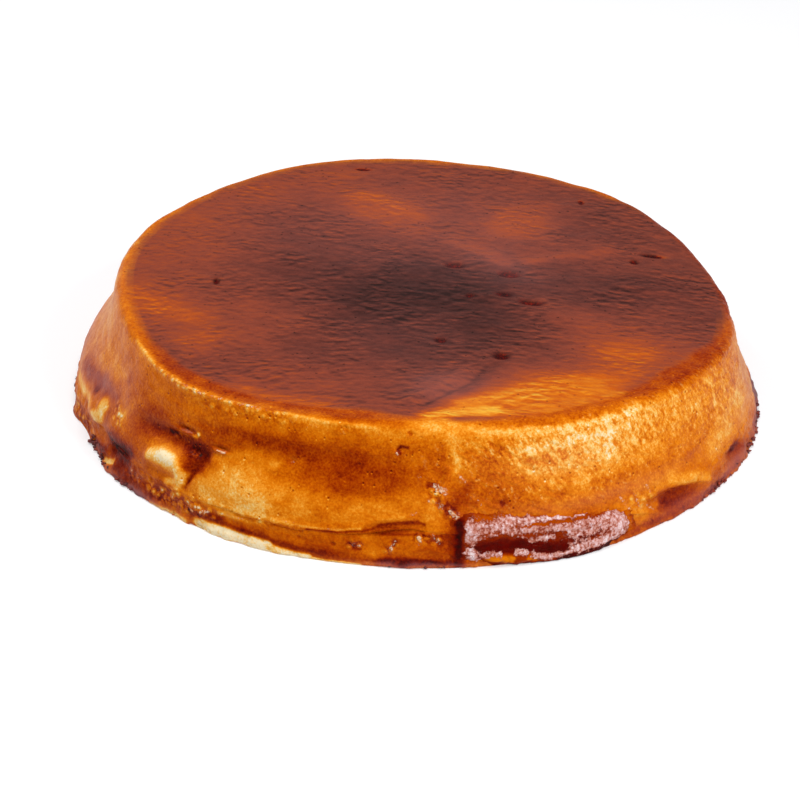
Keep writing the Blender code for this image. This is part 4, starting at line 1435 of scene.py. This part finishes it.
# Strokes of a pale light's reflection painted on the flap: path, half width, strength; then strength and
# edge. The line shadow is painted shade.
FLAP_PAINTED_REFLECTION = {
    "left ledge": (((-82, 0.315), (-81.5, 0.235)), 2.1, 0.94, 1, 7),
    "ledge right": (((-80.6, 0.312), (-76, 0.312)), 2, 0.7, 1, 5),
    "ledge drop": (((-80.2, 0.24), (-77.8, 0.262)), 1, 0.56),
    "upper band": (((-76, 0.275), (-70, 0.262), (-64, 0.252), (-59.5, 0.23)), 1.5, 0.7),
    "upper line": (((-73.5, 0.318), (-66, 0.312), (-61, 0.296), (-56.5, 0.278)), 0.75, 0.92),
    "line shadow": (((-75, 0.3), (-66, 0.286), (-60.5, 0.268), (-57, 0.252)), 0.32, 0.05),
    "knob": (((-64, 0.322), (-62.8, 0.32)), 0.8, 0.95, 1, 5),
    "middle patch": (((-72.6, 0.186), (-69, 0.182)), 1.1, 0.72),
    "middle left": (((-75, 0.214), (-72.6, 0.204)), 0.6, 0.48),
    "right half": (((-66, 0.205), (-60, 0.195)), 2.4, 0.72),
    "end lobe": (((-58.2, 0.215), (-57.2, 0.125)), 3.6, 0.8, 1, 9),
    "lobe line": (((-60.8, 0.13), (-59.6, 0.085), (-57, 0.06)), 0.35, 0.1, 0.8),
    "left foot": (((-81.8, 0.112), (-81.2, 0.072)), 1.9, 0.94, 1, 6),
    "left foot tail": (((-80, 0.108), (-77.4, 0.098)), 1, 0.7),
    "foot middle": (((-74.8, 0.112), (-73.2, 0.098)), 1, 0.78, 1, 5),
    "foot line": (((-72.2, 0.078), (-70.4, 0.042), (-66.8, 0.046)), 1, 0.78, 1, 5),
    "right foot": (((-66, 0.066), (-62, 0.078), (-58.6, 0.09)), 1.5, 0.86, 1, 5),
    "right roll": (((-66.6, 0.122), (-63, 0.114)), 0.6, 0.6),
    "ledge middle": (((-77.5, 0.332), (-73, 0.322)), 1.3, 0.74),
    "foot rim": (((-69, 0.02), (-64, 0.026), (-59, 0.04)), 0.6, 0.34),
}


def add_flap():
    """A pane of set caramel that ran down over the seam.

    It is a sheet whose thickness over the side, swells and hollows with layered noise, falls below
    nothing at its margin, so that its outline is where it dips in."""
    angle = np.linspace(FLAP_LEFT, FLAP_RIGHT, FLAP_COLUMNS)[None, :]
    climb = np.linspace(0, FLAP_CLIMB, FLAP_ROWS)[:, None]
    angle, climb = np.broadcast_arrays(angle, climb)
    base = side_radius(angle, climb) + 0.4 * fine_side(angle, climb)
    bent = angle + noise_mix(angle, climb, FLAP_BEND_ASIDE)
    bent_climb = climb + noise_mix(angle, climb, FLAP_BEND_UP)
    tilted = bent_climb + FLAP_TILT * (angle - FLAP_TILT_FROM)
    thick = side_field(bent, tilted, FLAP_SUNK, FLAP_THICK)
    thick = thick + noise_mix(angle, climb, FLAP_WRINKLES)
    from_sides = np.minimum(angle - FLAP_LEFT, FLAP_RIGHT - angle)
    inside = step(np.minimum(from_sides, (FLAP_CLIMB - climb) / 0.02))
    thick = thick * inside + FLAP_SUNK * (1 - inside)
    height = np.maximum(climb * rim_height(angle), FLAP_LOWEST)
    shift = np.concatenate([climb[..., None] * TOP_SHIFT, height[..., None]], axis=-1)
    front = np.concatenate([outward(angle), 0 * angle[..., None]], axis=-1)
    outer = front * (base + thick)[..., None] + shift
    inner = front * (base - FLAP_BACK)[..., None] + shift
    place = unrolled(bent, bent_climb)
    depth = strokes(0.74 + noise_mix(angle, climb, FLAP_MOTTLE), place, FLAP_DEPTH, side_path)
    # The painted reflection of a pale light on the flap
    frost = strokes(0, place, FLAP_PAINTED_REFLECTION, side_path)
    # Painted shade along the outline where the sheet dips into the side, with less of the painted reflection
    # there
    margin = 0.15 * bell((thick - 0.0001) / 0.00020)
    depth = depth + (0.84 - depth) * margin
    paint = {"depth": depth, "frost": frost * (1 - margin), "gloss": 0.02 + 0 * climb}
    return add_sheet("caramel_flap", outer + OFFSET, inner + OFFSET, paint, flap_finish())


# ---- Crumbs --------------------------------------------------------------------------------------
# Angle, spread, count, highest climb, largest size, caramel depth
CRUMB_DRIFTS = (
    (-155.5, 2.0, 26, 0.09, 0.0020, 0.90), (-150, 3.0, 16, 0.05, 0.0014, 0.94),
    (-143, 4.0, 18, 0.03, 0.0011, 0.88), (-134, 4.0, 10, 0.02, 0.0008, 0.60),
    (-90, 5.0, 10, 0.02, 0.0008, 0.93), (-46, 4.0, 12, 0.03, 0.0010, 0.85),
    (-34, 6.0, 34, 0.04, 0.0013, 0.86), (-22, 5.0, 34, 0.05, 0.0016, 0.90),
    (-8, 8.0, 34, 0.05, 0.0013, 0.90), (25, 14.0, 40, 0.05, 0.0014, 0.88),
    (80, 20.0, 50, 0.05, 0.0014, 0.88), (135, 18.0, 50, 0.05, 0.0014, 0.88),
    (175, 9.0, 34, 0.05, 0.0012, 0.88),
)
# A twenty-sided lump: its corners at the golden ratio, brought to a radius of 1, and its faces
PHI = (1 + 5 ** 0.5) / 2
LUMP_POINTS = np.array([
    (-1, PHI, 0), (1, PHI, 0), (-1, -PHI, 0), (1, -PHI, 0), (0, -1, PHI), (0, 1, PHI),
    (0, -1, -PHI), (0, 1, -PHI), (PHI, 0, -1), (PHI, 0, 1), (-PHI, 0, -1), (-PHI, 0, 1),
]) / np.hypot(1, PHI)
LUMP_FACES = np.array([
    (0, 11, 5), (0, 5, 1), (0, 1, 7), (0, 7, 10), (0, 10, 11), (1, 5, 9), (5, 11, 4),
    (11, 10, 2), (10, 7, 6), (7, 1, 8), (3, 9, 4), (3, 4, 2), (3, 2, 6), (3, 6, 8), (3, 8, 9),
    (4, 9, 5), (2, 4, 11), (6, 2, 10), (8, 6, 7), (9, 8, 1),
])


def add_crumbs():
    """Burnt crumbs along the foot: each a lump with its corners pushed in and out, half sunk."""
    random = np.random.default_rng(7)
    rows = np.concatenate([np.tile(row, (row[2], 1)) for row in CRUMB_DRIFTS])
    middle, spread, _, highest, largest, depth = rows.T
    count = len(rows)
    angle = middle + spread * random.uniform(-1, 1, count)
    climb = highest * random.uniform(0, 1, count) ** 1.5
    size = largest * random.uniform(0.3, 1, count) ** 1.5
    stretch = random.uniform(0.5, 1.1, (count, 1, 3)) * (1, 1, 0.6) * size[:, None, None]
    corners = LUMP_POINTS * random.uniform(0.65, 1.15, (count, len(LUMP_POINTS), 1)) * stretch
    height = np.maximum(climb * rim_height(angle), size * 0.5)
    radius = side_radius(angle, climb) + size * random.uniform(-0.5, 0.15, count)
    place = np.column_stack([outward(angle) * radius[:, None], height])
    points = (corners + place[:, None]).reshape(-1, 3)
    points[:, 2] = np.maximum(points[:, 2], 0.0001)
    faces = (LUMP_FACES + len(LUMP_POINTS) * np.arange(count)[:, None, None]).reshape(-1, 3)
    paint = {"depth": np.repeat(depth + random.uniform(-0.10, 0.06, count), len(LUMP_POINTS))}
    return add_piece("foot_crumbs", points + OFFSET, faces.tolist(), paint, crumb_finish())


# ---- Floor, light and camera -------------------------------------------------------------------
CAMERA_RISE = 28
CAMERA_ROLL = 1.5
CAMERA_DISTANCE = 1.0
CAMERA_LENS = 128
# Where the camera aims from the cake's axis, along its own right and up
CAMERA_AIM = (-0.006, -0.004)
SENSOR_WIDTH = 36
# Softboxes: name, direction round the cake, rise, distance, size, power
SOFTBOXES = (
    ("key", -45, 38, 1.3, (0.4, 0.35), 9.7),
    ("left", 160, 46, 1.3, (0.6, 0.4), 7.4),
    ("overhead", -90, 72, 1.5, (1.0, 0.8), 12.6),
)
# Height of the point that the softboxes face
LIT_HEIGHT = 0.02
FLOOR_HALF, FLOOR_DROP = 2.0, 0.0002


def add_camera():
    rise, roll = np.radians(CAMERA_RISE), np.radians(CAMERA_ROLL)
    forward = Vector((0, np.cos(rise), -np.sin(rise)))
    level, upright = Vector((1, 0, 0)), Vector((0, np.sin(rise), np.cos(rise)))
    right = level * np.cos(roll) + upright * np.sin(roll)
    up = upright * np.cos(roll) - level * np.sin(roll)
    target = Vector(OFFSET) + right * CAMERA_AIM[0] + up * CAMERA_AIM[1]
    data = bpy.data.cameras.new("camera")
    data.lens = CAMERA_LENS
    data.sensor_width = SENSOR_WIDTH
    camera = placed("camera", data)
    turn = Matrix((right, up, -forward)).transposed().to_4x4()
    camera.matrix_world = Matrix.Translation(target - forward * CAMERA_DISTANCE) @ turn
    bpy.context.scene.camera = camera


def add_softbox(name, azimuth, rise, distance, size, power):
    """A rectangular light that faces the cake from a direction."""
    a, e = np.radians(azimuth), np.radians(rise)
    place = Vector((np.cos(a) * np.cos(e), np.sin(a) * np.cos(e), np.sin(e))) * distance
    data = bpy.data.lights.new(name, "AREA")
    data.shape = "RECTANGLE"
    data.size, data.size_y = size
    data.energy = power
    light = placed(name, data)
    light.location = place + Vector((0, 0, LIT_HEIGHT))
    light.rotation_mode = "QUATERNION"
    light.rotation_quaternion = place.to_track_quat("Z", "Y")


def add_floor():
    """A white table top that glows a little, so that hardly a shadow falls on it."""
    values = {"Base Color": (0.60, 0.60, 0.61, 1), "Roughness": 0.9,
              "Emission Color": (1, 1, 1, 1), "Emission Strength": 0.35}
    material, _, _ = new_finish("pale_floor", values)
    mesh = bpy.data.meshes.new("floor")
    level = float(OFFSET[2]) - FLOOR_DROP
    corners = [(FLOOR_HALF * x, FLOOR_HALF * y, level) for x, y in ((-1, -1), (1, -1), (1, 1), (-1, 1))]
    mesh.from_pydata(corners, [], [(0, 1, 2, 3)])
    mesh.materials.append(material)
    placed("floor", mesh)


def add_world():
    world = bpy.data.worlds.new("studio")
    bpy.context.scene.world = world
    world.use_nodes = True
    background = world.node_tree.nodes["Background"]
    background.inputs["Color"].default_value = (0.97, 0.98, 1.0, 1)
    background.inputs["Strength"].default_value = 0.25


add_camera()
add_world()
add_floor()
for softbox in SOFTBOXES:
    add_softbox(*softbox)
bpy.context.scene.view_settings.view_transform = "Standard"

custard = custard_finish()
add_custard(custard)
add_skin(custard)
add_biscuit()
add_flap()
add_crumbs()
